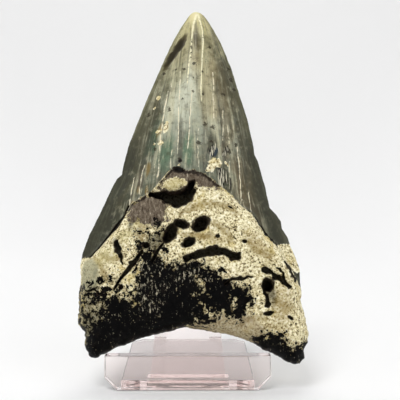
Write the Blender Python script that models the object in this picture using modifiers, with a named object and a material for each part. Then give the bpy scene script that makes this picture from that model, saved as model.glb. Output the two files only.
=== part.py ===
"""A fossil megalodon tooth standing on a three-piece clear acrylic stand.

Run with blender --background --python part.py, or from Blender's text editor.
Metres, +Z up. The tooth's display face looks along -Y. The origin is on the
surface that the stand rests on, under the middle of the object's bounding box.

The tooth is one closed loft: rows of points run across it, from the tip down to
the arch between the two root lobes, and each row is a ring round its front and
back. Pits, cracks and the chip near the tip are cut out with Booleans.
The stand is a front bar that the root's arch sits on, a base plate behind it, and
a tapered back rest that leans in a slot of the plate.
"""

import math

import bmesh
import bpy
import numpy as np
from mathutils import Matrix, Vector, noise

MM = 0.001

# ---------------------------------------------------------------- stand, in mm
BAR_WIDTH = 58.5
BAR_HEIGHT = 12.1
BAR_DEPTH = 5.0
BAR_MIDDLE_X = -1.9          # the bar's middle, from the tooth's own middle line
CORNER_CUT = 4.4             # 45 degree cut on the bar's bottom corners
BASE_WIDTH = 47.4
BASE_THICKNESS = 2.5
BASE_REAR_Y = 65.2           # from the bar's front face
REST_WIDTH_BOTTOM = 27.3
REST_TAPER = 0.083           # how much each side comes in, per mm of height
REST_THICKNESS = 4.0
REST_FLAT = 4.6              # width of the sloping flats along the front's long edges
REST_FLAT_DROP = 2.0         # and how far they fall
REST_TOP_S = 52.0            # top end, along the tooth from the level of the bar
REST_CORNER = 4.0            # radius of the two top corners
SLOT_END_GAP = 1.0           # air at each end of the rest's tenon
GAP = 0.3                    # between pieces that touch
SOFT_EDGE = 0.25             # polished edge of the cut sheet

# ------------------------------------------------------- the tooth's pose, in mm
LEAN = math.radians(12.0)    # the tooth leans back on its rest
SEAT_Y = 3.0                 # behind the bar's front face
SEAT_Z = 12.47               # height of s = 0, the level of the arch on the bar

# ------------------------------------------------------ the tooth's outline, mm
# x runs across the tooth, s along it from the arch's seat up to the tip, and n
# out of the display face. Each edge is listed as (s, x), from the tip down.
TIP_S, TIP_X = 125.1, 1.1
LEFT_EDGE = [
    (TIP_S, TIP_X), (125.0, 0.4), (124.6, -0.4), (123.7, -1.3), (122.3, -2.3), (119.0, -4.5),
    (112.9, -7.8), (103.8, -11.8), (91.7, -16.9), (79.7, -21.5), (73.8, -23.7),
    (67.9, -25.1), (63.8, -25.8), (62.3, -27.6), (60.5, -28.6), (50.3, -33.2),
    (41.6, -37.4), (35.2, -39.6), (30.1, -40.6), (27.1, -39.9), (20.0, -40.6),
    (10.0, -40.8), (7.4, -38.3), (3.3, -38.4), (0.9, -37.7), (-0.7, -36.7),
    (-1.4, -35.7),
]
RIGHT_EDGE = [
    (TIP_S, TIP_X), (125.0, 1.8), (124.7, 2.7), (123.7, 4.0), (122.3, 5.1), (119.0, 7.2),
    (112.9, 10.4), (103.8, 14.0), (91.7, 17.6), (84.2, 19.9), (73.4, 22.2),
    (71.2, 22.3), (68.9, 23.5), (59.8, 26.0), (51.7, 27.7), (49.2, 30.0),
    (46.6, 31.7), (44.1, 32.0), (41.3, 33.8), (37.9, 34.9), (34.0, 36.7),
    (29.1, 38.2), (25.4, 38.2), (21.1, 38.7), (18.9, 38.2), (15.5, 39.0),
    (7.4, 40.8), (3.4, 40.5), (0.7, 39.2), (-1.7, 39.2), (-3.6, 37.6),
]
# The arch between the lobes, as (x, s), from the left lobe to the right one.
ARCH = [
    (-35.7, -1.4), (-33.3, -1.3), (-29.4, 0.6), (-27.3, 2.0), (-22.6, 3.5),
    (-19.9, 4.8), (-14.8, 6.0), (-4.7, 8.5), (-1.9, 8.9), (0.5, 8.5),
    (11.7, 6.7), (17.0, 5.1), (21.8, 3.1), (24.8, 1.1), (27.9, -0.1),
    (32.9, -3.0), (35.3, -4.0), (37.6, -3.6),
]
# Lower edge of the enamel on the display face, as (x, s).
ENAMEL_FRONT = [
    (-40.2, 33.4), (-36.0, 33.9), (-32.6, 37.8), (-28.1, 43.0), (-24.3, 48.0),
    (-21.5, 52.6), (-14.5, 56.4), (-10.8, 60.6), (-7.2, 64.6), (-5.2, 63.7),
    (0.7, 63.7), (4.9, 61.9), (7.6, 59.8), (13.7, 55.0), (16.5, 51.8),
    (20.7, 49.0), (22.8, 45.8), (25.2, 41.9), (30.1, 37.3), (33.2, 32.6),
    (36.0, 27.5), (38.6, 22.5),
]
# Half-thickness of the tooth on its middle line, as (s, n), front and back.
CROWN_FRONT = [(0, 13.0), (55, 12.6), (70, 10.8), (90, 8.0), (105, 5.6),
               (115, 3.8), (121, 2.3), (TIP_S, 1.0)]
ROOT_FRONT = [(-5, 8.0), (8, 10.5), (20, 13.0), (34, 14.2), (48, 13.6), (60, 12.4),
              (75, 10.4)]
CROWN_BACK = [(20, 4.8), (50, 4.4), (80, 3.6), (105, 2.4), (120, 1.2), (TIP_S, 0.6)]
ROOT_BACK = [(-5, 6.0), (15, 7.0), (32, 7.2), (50, 5.0)]
ROOT_ROUND = 7.5             # how far in from the outline the root stays rounded
BLADE_FRONT = 0.45           # share of the front that falls straight to the blade
BACK_ENAMEL_S = 33.0         # lower edge of the enamel at the back's two sides
BACK_ENAMEL_RISE = 6.0       # and how much higher it is in the middle
CRUST_STEP = 1.1             # the root's crust stands this proud at the enamel
CRUST_LUMPS = 0.9            # height of its rolling lumps
BARE_DROP = 0.6              # how much lower the bone is where the crust has gone
GAP_DEPTH = 1.8              # of the crack between crust and enamel on the left
# Patches of the display face without crust, as loops of (x, s): the dark middle and
# left lobe, the tip of the right lobe, and the smooth band under the enamel.
BARE_PATCHES = [
    [(-38.8, 18.6), (-33.8, 22.6), (-28.7, 24.5), (-23.9, 30.0), (-17.0, 35.0), (-10.8, 34.0),
     (-7.3, 30.9), (3.4, 31.6), (6.9, 28.1), (10.3, 25.0), (19.2, 20.9), (19.9, 16.5),
     (14.7, 12.4), (7.5, 11.0), (-4.5, 8.3), (-14.7, 4.3), (-31.7, -2.0), (-41.0, -2.0),
     (-41.0, 18.0)],
    [(23.0, 3.0), (30.0, 5.2), (41.0, 4.0), (41.0, -6.0), (28.0, -4.0)],
    [(-22.0, 52.0), (-20.6, 47.0), (-17.0, 45.4), (-10.0, 47.0), (-8.6, 51.0), (-5.0, 51.0),
     (-1.0, 56.0), (3.0, 58.0), (10.0, 57.6), (7.5, 62.0), (-4.0, 65.0), (-10.0, 62.0)],
]
# A lump of crust on the enamel's edge, as (x, s, half-length, half-width, turn, height).
LEDGE_LUMP = (-6.4, 58.6, 4.8, 2.6, 8, 1.5)
# Share of the tooth's length passed, for each share of its rows: closer at both ends.
ROW_SPACING = [(0, 0), (0.02, 0.003), (0.06, 0.02), (0.13, 0.09), (0.40, 0.44), (0.93, 0.95),
               (0.97, 0.983), (1, 1)]
COLUMNS, ROWS = 56, 118      # points across each face, and rows along the tooth
TOOTH_TRIANGLES = 8600       # what the solid is thinned to


def column(table):
    """The two columns of a list of pairs, as arrays."""
    return np.array(table, float).T


def along(table, at):
    """Reads y at each x from (x, y) pairs, rising or falling in x."""
    x, y = column(table)
    order = np.argsort(x)
    return np.interp(at, x[order], y[order])


def smooth(low, high, value):
    """0 below low, 1 above high and an S curve between."""
    t = np.clip((value - low) / (high - low), 0, 1)
    return t * t * (3 - 2 * t)


def tooth_rows():
    """x and s of every point: rows stay level in the crown and bend with the arch in the root."""
    t = along(ROW_SPACING, np.linspace(0, 1, ROWS))
    left_s = TIP_S + (LEFT_EDGE[-1][0] - TIP_S) * t
    right_s = TIP_S + (RIGHT_EDGE[-1][0] - TIP_S) * t
    even = np.linspace(0, 1, COLUMNS)
    across = 0.45 * even + 0.55 * (1 - np.cos(even * math.pi)) / 2
    left_x, right_x = along(LEFT_EDGE, left_s), along(RIGHT_EDGE, right_s)
    x = left_x[:, None] + (right_x - left_x)[:, None] * across
    level = left_s[:, None] + (right_s - left_s)[:, None] * across
    low_left, low_right = ARCH[0], ARCH[-1]
    arch_x = low_left[0] + (low_right[0] - low_left[0]) * across
    chord = low_left[1] + (low_right[1] - low_left[1]) * across
    arch = along(ARCH, arch_x) - chord
    bend = np.clip((t - 0.3) / 0.7, 0, 1) ** 1.6
    return x, level + bend[:, None] * arch, np.broadcast_to(across * 2 - 1, x.shape)


def outline():
    """The tooth's outline as a dense loop of (x, s)."""
    loop = [(x, s) for s, x in LEFT_EDGE] + ARCH[1:-1]
    loop += [(x, s) for s, x in reversed(RIGHT_EDGE)]
    loop = np.array(loop)
    steps = []
    for a, b in zip(loop, np.roll(loop, -1, axis=0)):
        count = max(1, int(np.linalg.norm(b - a) / 0.5))
        steps.append(a + (b - a) * np.linspace(0, 1, count, endpoint=False)[:, None])
    return np.concatenate(steps)


def distance_inside(x, s):
    """How far each point is from the outline, in mm."""
    loop = outline()
    points = np.stack([x.ravel(), s.ravel()], 1)
    far = [np.sqrt(((points[i:i + 500, None] - loop) ** 2).sum(2)).min(1)
           for i in range(0, len(points), 500)]
    return np.concatenate(far).reshape(x.shape)


def lumps(x, s, seed):
    """Rolling relief of the root's bone, between -1 and 1 or so, from fractal noise."""
    heights = [noise.fractal(Vector((a / 5.0, b / 5.0, seed)), 0.8, 2.0, 4)
               for a, b in zip(x.ravel(), s.ravel())]
    return np.array(heights).reshape(x.shape)


def patch_mask(x, s, loop):
    """1 inside a loop of (x, s), 0 outside, with a millimetre of slope at its border."""
    loop = np.array(loop)
    inside = np.zeros(x.shape, bool)
    nearest = np.full(x.shape, 1e9)
    for (ax, ay), (bx, by) in zip(loop, np.roll(loop, -1, axis=0)):
        crosses = (ay > s) != (by > s)
        inside ^= crosses & (x < (bx - ax) * (s - ay) / (by - ay + 1e-12) + ax)
        span = (bx - ax) ** 2 + (by - ay) ** 2
        t = np.clip(((x - ax) * (bx - ax) + (s - ay) * (by - ay)) / span, 0, 1)
        nearest = np.minimum(nearest, np.hypot(x - ax - t * (bx - ax), s - ay - t * (by - ay)))
    return smooth(-0.6, 0.6, np.where(inside, nearest, -nearest))


def bump(x, s, shape):
    """A rounded lump, 1 at its middle and 0 from its border on."""
    cx, cy, length, width, turn, _ = shape
    c, d = math.cos(math.radians(turn)), math.sin(math.radians(turn))
    a = ((x - cx) * c + (s - cy) * d) / length
    b = ((s - cy) * c - (x - cx) * d) / width
    return np.clip(1 - a ** 2 - b ** 2, 0, 1) ** 0.6


def faces_of_tooth():
    """n of the display face and of the back, over the whole grid."""
    x, s, w = tooth_rows()
    inside = distance_inside(x, s)
    inside[[0, -1]] = 0
    inside[:, [0, -1]] = 0
    rim = 1 - np.clip(inside / ROOT_ROUND, 0, 1)
    rounded = (1 - rim ** 2.2) ** (1 / 2.2)
    side = 1 - 0.42 * w ** 2
    lens = (1 - BLADE_FRONT) * (1 - w ** 2) ** 1.5 + BLADE_FRONT * (1 - w ** 2)
    tip = np.clip(inside / 2.0, 0, 1) ** 0.5

    edge = along(ENAMEL_FRONT, x)
    crown = along(CROWN_FRONT, s) * lens * tip
    root = along(ROOT_FRONT, s) * side * rounded
    in_root = smooth(edge + 2.0, edge - 5.0, s)
    front = crown * (1 - in_root) + root * in_root
    crust = smooth(edge + 0.3, edge - 0.4, s) * smooth(0.5, 3.0, inside)
    bare = sum(patch_mask(x, s, loop) for loop in BARE_PATCHES)
    step = CRUST_STEP - BARE_DROP * np.clip(bare, 0, 1)
    front += crust * (step + CRUST_LUMPS * lumps(x, s, 3.0))
    front += LEDGE_LUMP[5] * bump(x, s, LEDGE_LUMP)
    beside_gap = smooth(-36.0, -33.0, x) * smooth(-22.0, -24.5, x)
    front -= GAP_DEPTH * beside_gap * np.exp(-((s - edge + 0.9) / 1.1) ** 2)

    back_edge = BACK_ENAMEL_S + BACK_ENAMEL_RISE * (1 - (x / 40.0) ** 2)
    flat = (1 - abs(w) ** 3) * tip
    in_back_root = smooth(back_edge + 4.0, back_edge - 6.0, s)
    back = along(CROWN_BACK, s) * flat * (1 - in_back_root)
    back += along(ROOT_BACK, s) * (1 - 0.25 * w ** 2) * rounded * in_back_root
    crust = smooth(back_edge + 0.4, back_edge - 0.8, s) * smooth(1.0, 4.0, inside)
    back += crust * 0.5 * lumps(x, s, 9.0)
    return x, s, front, -back


def new_object(name, mesh, collection):
    obj = bpy.data.objects.new(name, mesh)
    collection.objects.link(obj)
    return obj


def loft_tooth(collection):
    """One ring a row, front then back. Row 0 is the tip's single point; the last is the arch."""
    x, s, front, back = faces_of_tooth()
    half = COLUMNS - 1
    ring = 2 * half
    front_row = np.stack([x, s, front], 2)
    back_row = np.stack([x, s, back], 2)[:, -2:0:-1]
    rings = np.concatenate([front_row, back_row], 1)[1:-1]
    seam = front_row[-1]
    points = np.concatenate([[[TIP_X, TIP_S, 0.0]], rings.reshape(-1, 3), seam])
    first_seam = 1 + len(rings) * ring
    on_seam = [first_seam + a for a in range(COLUMNS)]
    on_seam += [first_seam + half - a for a in range(1, half)]
    near = list(range(ring))
    after = near[1:] + near[:1]
    faces = [(0, 1 + b, 1 + a) for a, b in zip(near, after)]
    for row in range(len(rings)):
        top = 1 + row * ring
        below = [top + ring + a for a in near] if row < len(rings) - 1 else on_seam
        faces += [(top + a, top + b, below[b], below[a]) for a, b in zip(near, after)]
    mesh = bpy.data.meshes.new("tooth")
    mesh.from_pydata((points * MM).tolist(), [], faces)
    model = bmesh.new()
    model.from_mesh(mesh)
    bmesh.ops.recalc_face_normals(model, faces=model.faces)
    model.to_mesh(mesh)
    model.free()
    mesh.shade_smooth()
    return new_object("tooth", mesh, collection)


# --------------------------------------------------------------- pits and cracks
# Pits as (x, s, half-length, half-width, turn in degrees, depth), in mm.
PITS = {
    "round_hole": (2.6, 44.4, 3.5, 2.5, 42, 8.0),
    "bean_hole_upper": (-4.2, 44.5, 2.7, 1.5, -14, 6.0),
    "bean_hole_lower": (-7.9, 41.2, 4.3, 2.0, 58, 5.0),
    "small_hole": (-1.6, 38.2, 2.5, 1.7, 32, 6.0),
    "side_hole": (25.7, 23.5, 2.5, 2.1, 80, 7.0),
    "low_hole": (26.2, 13.9, 2.1, 0.9, 8, 3.0),
    "left_pore": (-24.8, 22.9, 1.0, 0.9, 0, 2.5),
    "crack_pore": (-16.1, 37.0, 1.4, 1.2, 0, 3.0),
    "ledge_pore": (-5.4, 64.0, 1.1, 1.6, 0, 2.0),
    "enamel_pore": (-5.4, 66.8, 0.8, 1.0, 0, 1.2),
}
# Slits as routes of (x, s, half-width), in mm.
SLITS = {
    "hollow": [(-14.6, 55.6, 0.8), (-11.5, 54.8, 1.5), (-8.7, 53.6, 2.3), (-5.6, 52.8, 2.9),
               (-2.7, 54.2, 2.7), (-0.8, 56.4, 2.0), (-0.5, 58.8, 1.1)],
    "arc_slit": [(-2.2, 33.1, 0.8), (1.4, 33.7, 1.3), (4.5, 34.7, 1.6), (7.6, 35.3, 1.6),
                 (11.0, 34.6, 1.4), (14.9, 33.2, 1.3)],
    "side_slit_upper": [(24.4, 28.6, 0.8), (27.3, 26.8, 1.0), (30.1, 24.7, 0.9)],
    "side_slit_right": [(29.0, 29.1, 0.7), (31.2, 26.1, 0.9), (33.7, 22.6, 0.8)],
    "side_slit_low": [(24.5, 21.5, 0.5), (25.2, 19.2, 0.8), (25.7, 17.0, 1.0)],
    "long_crack": [(-17.0, 35.8, 0.9), (-20.1, 32.4, 0.9), (-22.5, 29.6, 0.9),
                   (-25.3, 26.2, 0.7), (-27.3, 22.0, 0.5)],
    "left_slit": [(-26.9, 39.6, 1.3), (-26.0, 36.6, 0.9), (-25.4, 31.7, 0.4)],
}
SLIT_PROFILE = [(-1.3, 1.6), (1.3, 1.6), (0.8, -2.1), (-0.8, -2.1)]   # times the half-width
TIP_SCAR = (-7.5, 107.6, 6.6, 1.6, 57, 1.2)


class Surface:
    """Reads n of the display face at any (x, s), from the finished solid."""

    def __init__(self, solid):
        self.solid = solid

    def height(self, x, s):
        start = Vector((x, s, 60.0)) * MM
        hit, where, _, _ = self.solid.ray_cast(start, Vector((0, 0, -1)))
        if not hit:
            raise ValueError(f"no tooth at x {x}, s {s}")
        return where.z / MM


def pit_cutter(name, pit, surface, collection):
    """An ellipsoid centred on the face, so that it leaves a bowl of the stated depth."""
    x, s, length, width, turn, depth = pit
    mesh = bpy.data.meshes.new(name)
    model = bmesh.new()
    bmesh.ops.create_uvsphere(model, u_segments=16, v_segments=10, radius=1.0)
    size = Matrix.Diagonal((length * MM, width * MM, depth * MM, 1.0))
    place = Matrix.Translation(Vector((x, s, surface.height(x, s))) * MM)
    spin = Matrix.Rotation(math.radians(turn), 4, "Z")
    bmesh.ops.transform(model, matrix=place @ spin @ size, verts=model.verts)
    model.to_mesh(mesh)
    model.free()
    return new_object(name, mesh, collection)


def slit_cutter(name, route, surface, collection):
    """A groove that narrows downwards, swept along the face. A cutter has to be a mesh."""
    x, s, half = column(route)
    reach = np.concatenate([[0], np.cumsum(np.hypot(np.diff(x), np.diff(s)))])
    steps = np.linspace(0, reach[-1], max(4, int(reach[-1] / 1.2)))
    px, ps, width = (np.interp(steps, reach, values) for values in (x, s, half))
    level = np.array([surface.height(a, b) for a, b in zip(px, ps)])
    for _ in range(4):
        level[1:-1] = (level[:-2] + 2 * level[1:-1] + level[2:]) / 4
    profile = bpy.data.curves.new(name + "_profile", "CURVE")
    profile.dimensions = "2D"
    corners = profile.splines.new("POLY")
    corners.points.add(3)
    corners.use_cyclic_u = True
    for point, (across, down) in zip(corners.points, SLIT_PROFILE):
        point.co = (across * MM, down * MM, 0.0, 1.0)
    section = new_object(name + "_profile", profile, collection)
    curve = bpy.data.curves.new(name, "CURVE")
    curve.dimensions = "3D"
    curve.twist_mode = "Z_UP"
    curve.bevel_mode = "OBJECT"
    curve.bevel_object = section
    curve.use_fill_caps = True
    spline = curve.splines.new("POLY")
    spline.points.add(len(steps) - 1)
    for point, *place, radius in zip(spline.points, px, ps, level, width):
        point.co = (*[value * MM for value in place], 1.0)
        point.radius = radius
    guide = new_object(name + "_route", curve, collection)
    graph = bpy.context.evaluated_depsgraph_get()
    mesh = bpy.data.meshes.new_from_object(guide.evaluated_get(graph))
    model = bmesh.new()
    model.from_mesh(mesh)
    bmesh.ops.remove_doubles(model, verts=model.verts, dist=0.001 * MM)
    bmesh.ops.recalc_face_normals(model, faces=model.faces)
    model.to_mesh(mesh)
    model.free()
    bpy.data.objects.remove(guide)
    bpy.data.objects.remove(section)
    return new_object(name, mesh, collection)


def cut_tooth(tooth, cutters):
    """Every pit, slit and scar comes off in one Boolean, and the result is thinned."""
    surface = Surface(tooth)
    bpy.context.view_layer.update()
    for name, pit in PITS.items():
        pit_cutter(name, pit, surface, cutters)
    pit_cutter("tip_scar", TIP_SCAR, surface, cutters)
    for name, slit in SLITS.items():
        slit_cutter(name, slit, surface, cutters)
    for cutter in cutters.objects:
        cutter.parent = tooth
        cutter.hide_render = True
        cutter.display_type = "WIRE"
    cut = tooth.modifiers.new("pits", "BOOLEAN")
    cut.operation = "DIFFERENCE"
    cut.operand_type = "COLLECTION"
    cut.collection = cutters
    bpy.context.view_layer.update()
    graph = bpy.context.evaluated_depsgraph_get()
    mesh = bpy.data.meshes.new_from_object(tooth.evaluated_get(graph))
    tooth.modifiers.remove(cut)
    model = bmesh.new()
    model.from_mesh(mesh)
    bmesh.ops.triangulate(model, faces=model.faces)
    bmesh.ops.dissolve_degenerate(model, dist=0.03 * MM, edges=model.edges)
    bmesh.ops.triangulate(model, faces=model.faces)
    triangles = len(model.faces)
    model.to_mesh(mesh)
    model.free()
    tooth.data = mesh
    mesh.name = "tooth"
    thin = tooth.modifiers.new("thin", "DECIMATE")
    thin.ratio = min(1.0, TOOTH_TRIANGLES / triangles)


# ------------------------------------------------------------------------- stand
def sheet_piece(name, points, thickness, collection):
    """A flat outline cut from acrylic sheet: a filled 2D curve with an extrude, made a mesh."""
    curve = bpy.data.curves.new(name, "CURVE")
    curve.dimensions = "2D"
    curve.fill_mode = "BOTH"
    curve.extrude = thickness / 2 * MM
    spline = curve.splines.new("POLY")
    spline.points.add(len(points) - 1)
    spline.use_cyclic_u = True
    for point, (x, y) in zip(spline.points, points):
        point.co = (x * MM, y * MM, 0.0, 1.0)
    flat = new_object(name + "_outline", curve, collection)
    graph = bpy.context.evaluated_depsgraph_get()
    mesh = bpy.data.meshes.new_from_object(flat.evaluated_get(graph))
    mesh.name = name
    model = bmesh.new()
    model.from_mesh(mesh)
    bmesh.ops.remove_doubles(model, verts=model.verts, dist=0.001 * MM)
    bmesh.ops.dissolve_limit(model, angle_limit=0.01, verts=model.verts, edges=model.edges)
    bmesh.ops.recalc_face_normals(model, faces=model.faces)
    model.to_mesh(mesh)
    model.free()
    bpy.data.objects.remove(flat)
    return new_object(name, mesh, collection)


def soften(obj):
    """A narrow bevel on every sharp edge, as a polished cut edge has."""
    bevel = obj.modifiers.new("polished_edge", "BEVEL")
    bevel.width = SOFT_EDGE * MM
    bevel.segments = 2
    bevel.limit_method = "ANGLE"
    bevel.angle_limit = math.radians(30)


def front_bar(collection):
    half = BAR_WIDTH / 2
    points = [
        (-half, CORNER_CUT), (-half + CORNER_CUT, 0), (half - CORNER_CUT, 0),
        (half, CORNER_CUT), (half, BAR_HEIGHT), (-half, BAR_HEIGHT),
    ]
    bar = sheet_piece("stand_front_bar", points, BAR_DEPTH, collection)
    upright = Matrix.Rotation(math.radians(90), 4, "X")
    place = Matrix.Translation(Vector((BAR_MIDDLE_X, BAR_DEPTH / 2, 0)) * MM)
    bar.matrix_world = place @ upright
    soften(bar)
    return bar


def base_plate(collection):
    half, front, rear = BASE_WIDTH / 2, BAR_DEPTH + GAP, BASE_REAR_Y
    points = [
        (-half, front), (half, front), (half, rear - CORNER_CUT),
        (half - CORNER_CUT, rear), (-half + CORNER_CUT, rear), (-half, rear - CORNER_CUT),
    ]
    plate = sheet_piece("stand_base_plate", points, BASE_THICKNESS, collection)
    plate.location = Vector((BAR_MIDDLE_X, 0, BASE_THICKNESS / 2)) * MM
    soften(plate)
    return plate


def box_cutter(name, place, target, cutters):
    """A box, stretched and set by one matrix, taken off the target."""
    model = bmesh.new()
    bmesh.ops.create_cube(model, size=1.0)
    bmesh.ops.transform(model, matrix=place, verts=model.verts)
    mesh = bpy.data.meshes.new(name)
    model.to_mesh(mesh)
    model.free()
    box = new_object(name, mesh, cutters)
    box.hide_render = True
    box.display_type = "WIRE"
    cut = target.modifiers.new(name, "BOOLEAN")
    cut.operation = "DIFFERENCE"
    cut.object = box


def tooth_frame():
    """Takes (x, s, n) of the leaning tooth to the world. +n looks out of the display face."""
    turn = Matrix.Rotation(math.radians(90) - LEAN, 4, "X")
    return Matrix.Translation(Vector((0, SEAT_Y, SEAT_Z)) * MM) @ turn


def rest_outline(bottom_s):
    """A tapered tongue with round top corners, in (x, s)."""
    height = REST_TOP_S - bottom_s
    low, high = REST_WIDTH_BOTTOM / 2, REST_WIDTH_BOTTOM / 2 - REST_TAPER * height
    points = [(-low, bottom_s), (low, bottom_s)]
    for turn in np.radians(np.linspace(0, 180, 13)):
        reach = (high - REST_CORNER) * (1 if turn < math.pi / 2 + 1e-6 else -1)
        points.append((
            reach + REST_CORNER * math.cos(turn),
            REST_TOP_S - REST_CORNER + REST_CORNER * math.sin(turn),
        ))
    return points


def back_rest(front_n, collection, cutters):
    """The tongue, leaning with the tooth, with its front face at front_n."""
    bottom_s = (BASE_THICKNESS * 0.1 - SEAT_Z - (front_n - REST_THICKNESS) * math.sin(LEAN))
    bottom_s /= math.cos(LEAN)
    rest = sheet_piece("stand_back_rest", rest_outline(bottom_s), REST_THICKNESS, collection)
    middle = Vector((BAR_MIDDLE_X, 0, front_n - REST_THICKNESS / 2)) * MM
    rest.matrix_world = tooth_frame() @ Matrix.Translation(middle)
    slope = math.atan(REST_FLAT_DROP / REST_FLAT)
    taper = math.atan(REST_TAPER)
    for side, name in ((-1, "left"), (1, "right")):
        at_seat = REST_WIDTH_BOTTOM / 2 + REST_TAPER * bottom_s - REST_FLAT / 2
        place = Matrix.Translation(
            Vector((BAR_MIDDLE_X + side * at_seat, 0, front_n - REST_FLAT_DROP / 2)) * MM
        )
        turn = Matrix.Rotation(side * taper, 4, "Z") @ Matrix.Rotation(side * slope, 4, "Y")
        size = Matrix.Diagonal((14 * MM, 200 * MM, 8 * MM, 1.0))
        lift = Matrix.Translation(Vector((0, 0, 4)) * MM)
        box_cutter("rest_flat_" + name, tooth_frame() @ place @ turn @ lift @ size, rest, cutters)
    soften(rest)
    return rest


def cut_slot(plate, front_n, cutters):
    """The slot leans with the rest: 0.3 mm of air front and back, and more at its two ends."""
    size = Matrix.Diagonal((
        (REST_WIDTH_BOTTOM + 2 * SLOT_END_GAP) * MM, 16 * MM,
        (REST_THICKNESS + 2 * GAP) * MM, 1.0,
    ))
    middle_s = BASE_THICKNESS / 2 - SEAT_Z - (front_n - REST_THICKNESS / 2) * math.sin(LEAN)
    middle_s /= math.cos(LEAN)
    middle = Vector((BAR_MIDDLE_X, middle_s, front_n - REST_THICKNESS / 2)) * MM
    box_cutter("slot", tooth_frame() @ Matrix.Translation(middle) @ size, plate, cutters)


# --------------------------------------------------------------------- materials
def material(name, colour, roughness, transmission=0.0, ior=1.5):
    made = bpy.data.materials.new(name)
    made.use_nodes = True
    shader = made.node_tree.nodes["Principled BSDF"]
    shader.inputs["Base Color"].default_value = (*colour, 1.0)
    shader.inputs["Roughness"].default_value = roughness
    shader.inputs["Metallic"].default_value = 0.0
    shader.inputs["Transmission Weight"].default_value = transmission
    shader.inputs["IOR"].default_value = ior
    return made


# ---------------------------------------------------------------------- assembly
def clear_scene():
    for obj in list(bpy.data.objects):
        bpy.data.objects.remove(obj)


def new_collection(name):
    made = bpy.data.collections.new(name)
    bpy.context.scene.collection.children.link(made)
    return made


def world_points(obj, graph):
    evaluated = obj.evaluated_get(graph)
    return np.array([evaluated.matrix_world @ v.co for v in evaluated.data.vertices])


def centre_on_origin(pieces, cutters, root):
    """Moves the root empty so that the bounding box stands centred on the origin."""
    bpy.context.view_layer.update()
    graph = bpy.context.evaluated_depsgraph_get()
    points = np.concatenate([world_points(piece, graph) for piece in pieces])
    low, high = points.min(0), points.max(0)
    print("box in mm", np.round((high - low) / MM, 2), "lowest z", round(low[2] / MM, 3))
    for piece in [*pieces, *cutters.objects]:
        piece.parent = root
    root.location = (-(low[0] + high[0]) / 2, -(low[1] + high[1]) / 2, 0.0)


def clearance(tooth):
    """Prints how far each lobe clears the bar's top, looking straight up from it."""
    graph = bpy.context.evaluated_depsgraph_get()
    solid = tooth.evaluated_get(graph)
    to_local = solid.matrix_world.inverted()
    up = to_local.to_3x3() @ Vector((0, 0, 1))
    found = {"left": [], "right": []}
    for x in np.arange(-BAR_WIDTH / 2 + 0.3, BAR_WIDTH / 2, 0.5) + BAR_MIDDLE_X:
        for y in np.arange(0.3, BAR_DEPTH - 0.2, 0.4):
            start = Vector((x, y, BAR_HEIGHT)) * MM
            hit, where, _, _ = solid.ray_cast(to_local @ start, up)
            if hit:
                rise = ((solid.matrix_world @ where).z - start.z) / MM
                found["left" if x < 0 else "right"].append((rise, x, y))
    for name, rises in found.items():
        print(name, "lobe clears the bar by (mm, x, y)", [round(float(v), 2) for v in min(rises)])


def main():
    clear_scene()
    parts = new_collection("megalodon_tooth_on_stand")
    cutters = new_collection("tooth_cutters")
    slots = new_collection("stand_cutters")

    tooth = loft_tooth(parts)
    cut_tooth(tooth, cutters)
    bpy.context.view_layer.update()
    graph = bpy.context.evaluated_depsgraph_get()
    local = np.array([v.co for v in tooth.evaluated_get(graph).data.vertices]) / MM
    reach = (abs(local[:, 0] - BAR_MIDDLE_X) < REST_WIDTH_BOTTOM / 2) & (local[:, 1] < REST_TOP_S + 2)
    rest_n = local[reach][:, 2].min() - GAP
    print("back of the tooth where it rests: n", round(rest_n, 2), "mm")
    tooth.matrix_world = tooth_frame()

    bar = front_bar(parts)
    plate = base_plate(parts)
    rest = back_rest(rest_n, parts, slots)
    cut_slot(plate, rest_n, slots)
    bpy.context.view_layer.update()
    clearance(tooth)

    tooth.data.materials.append(material("fossil_enamel_and_bone", (0.30, 0.29, 0.22), 0.45))
    acrylic = material("clear_acrylic", (0.97, 0.94, 0.95), 0.03, transmission=1.0, ior=1.49)
    for piece in (bar, plate, rest):
        piece.data.materials.append(acrylic)

    root = bpy.data.objects.new("display", None)
    parts.objects.link(root)
    centre_on_origin([tooth, bar, plate, rest], slots, root)


main()
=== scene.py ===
# %% [markdown]
# # A fossil megalodon tooth on a clear acrylic stand
#
# The tooth is the subject: a tall triangle of glossy enamel over a rough root with
# two lobes. It leans back on three pieces of clear acrylic sheet. This lesson
# rebuilds the tooth as one fine surface worked out with numpy, gives it a finish that
# knows where enamel, crust and bare bone lie, and then polishes the stand.

import bpy
import numpy as np
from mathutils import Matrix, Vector


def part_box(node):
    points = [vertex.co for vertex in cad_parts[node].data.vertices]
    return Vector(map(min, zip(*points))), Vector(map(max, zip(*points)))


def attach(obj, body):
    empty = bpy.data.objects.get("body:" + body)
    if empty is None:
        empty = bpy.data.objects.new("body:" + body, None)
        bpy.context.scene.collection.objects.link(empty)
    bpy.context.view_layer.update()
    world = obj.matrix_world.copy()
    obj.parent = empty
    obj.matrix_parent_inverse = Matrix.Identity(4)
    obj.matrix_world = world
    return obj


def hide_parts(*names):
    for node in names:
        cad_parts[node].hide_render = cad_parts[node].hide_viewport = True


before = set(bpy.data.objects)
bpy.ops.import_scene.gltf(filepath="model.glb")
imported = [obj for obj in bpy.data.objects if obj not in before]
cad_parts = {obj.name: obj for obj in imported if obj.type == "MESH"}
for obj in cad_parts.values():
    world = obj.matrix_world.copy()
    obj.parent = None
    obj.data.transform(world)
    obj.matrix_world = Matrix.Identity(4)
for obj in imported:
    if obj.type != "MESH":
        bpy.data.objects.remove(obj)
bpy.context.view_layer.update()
MM = 0.001
print("solids:", sorted(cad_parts))

# %% [markdown]
# Colours are written as sRGB hex values, as a colour picker shows them, and the
# shaders want linear light. One function does the turning.


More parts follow.
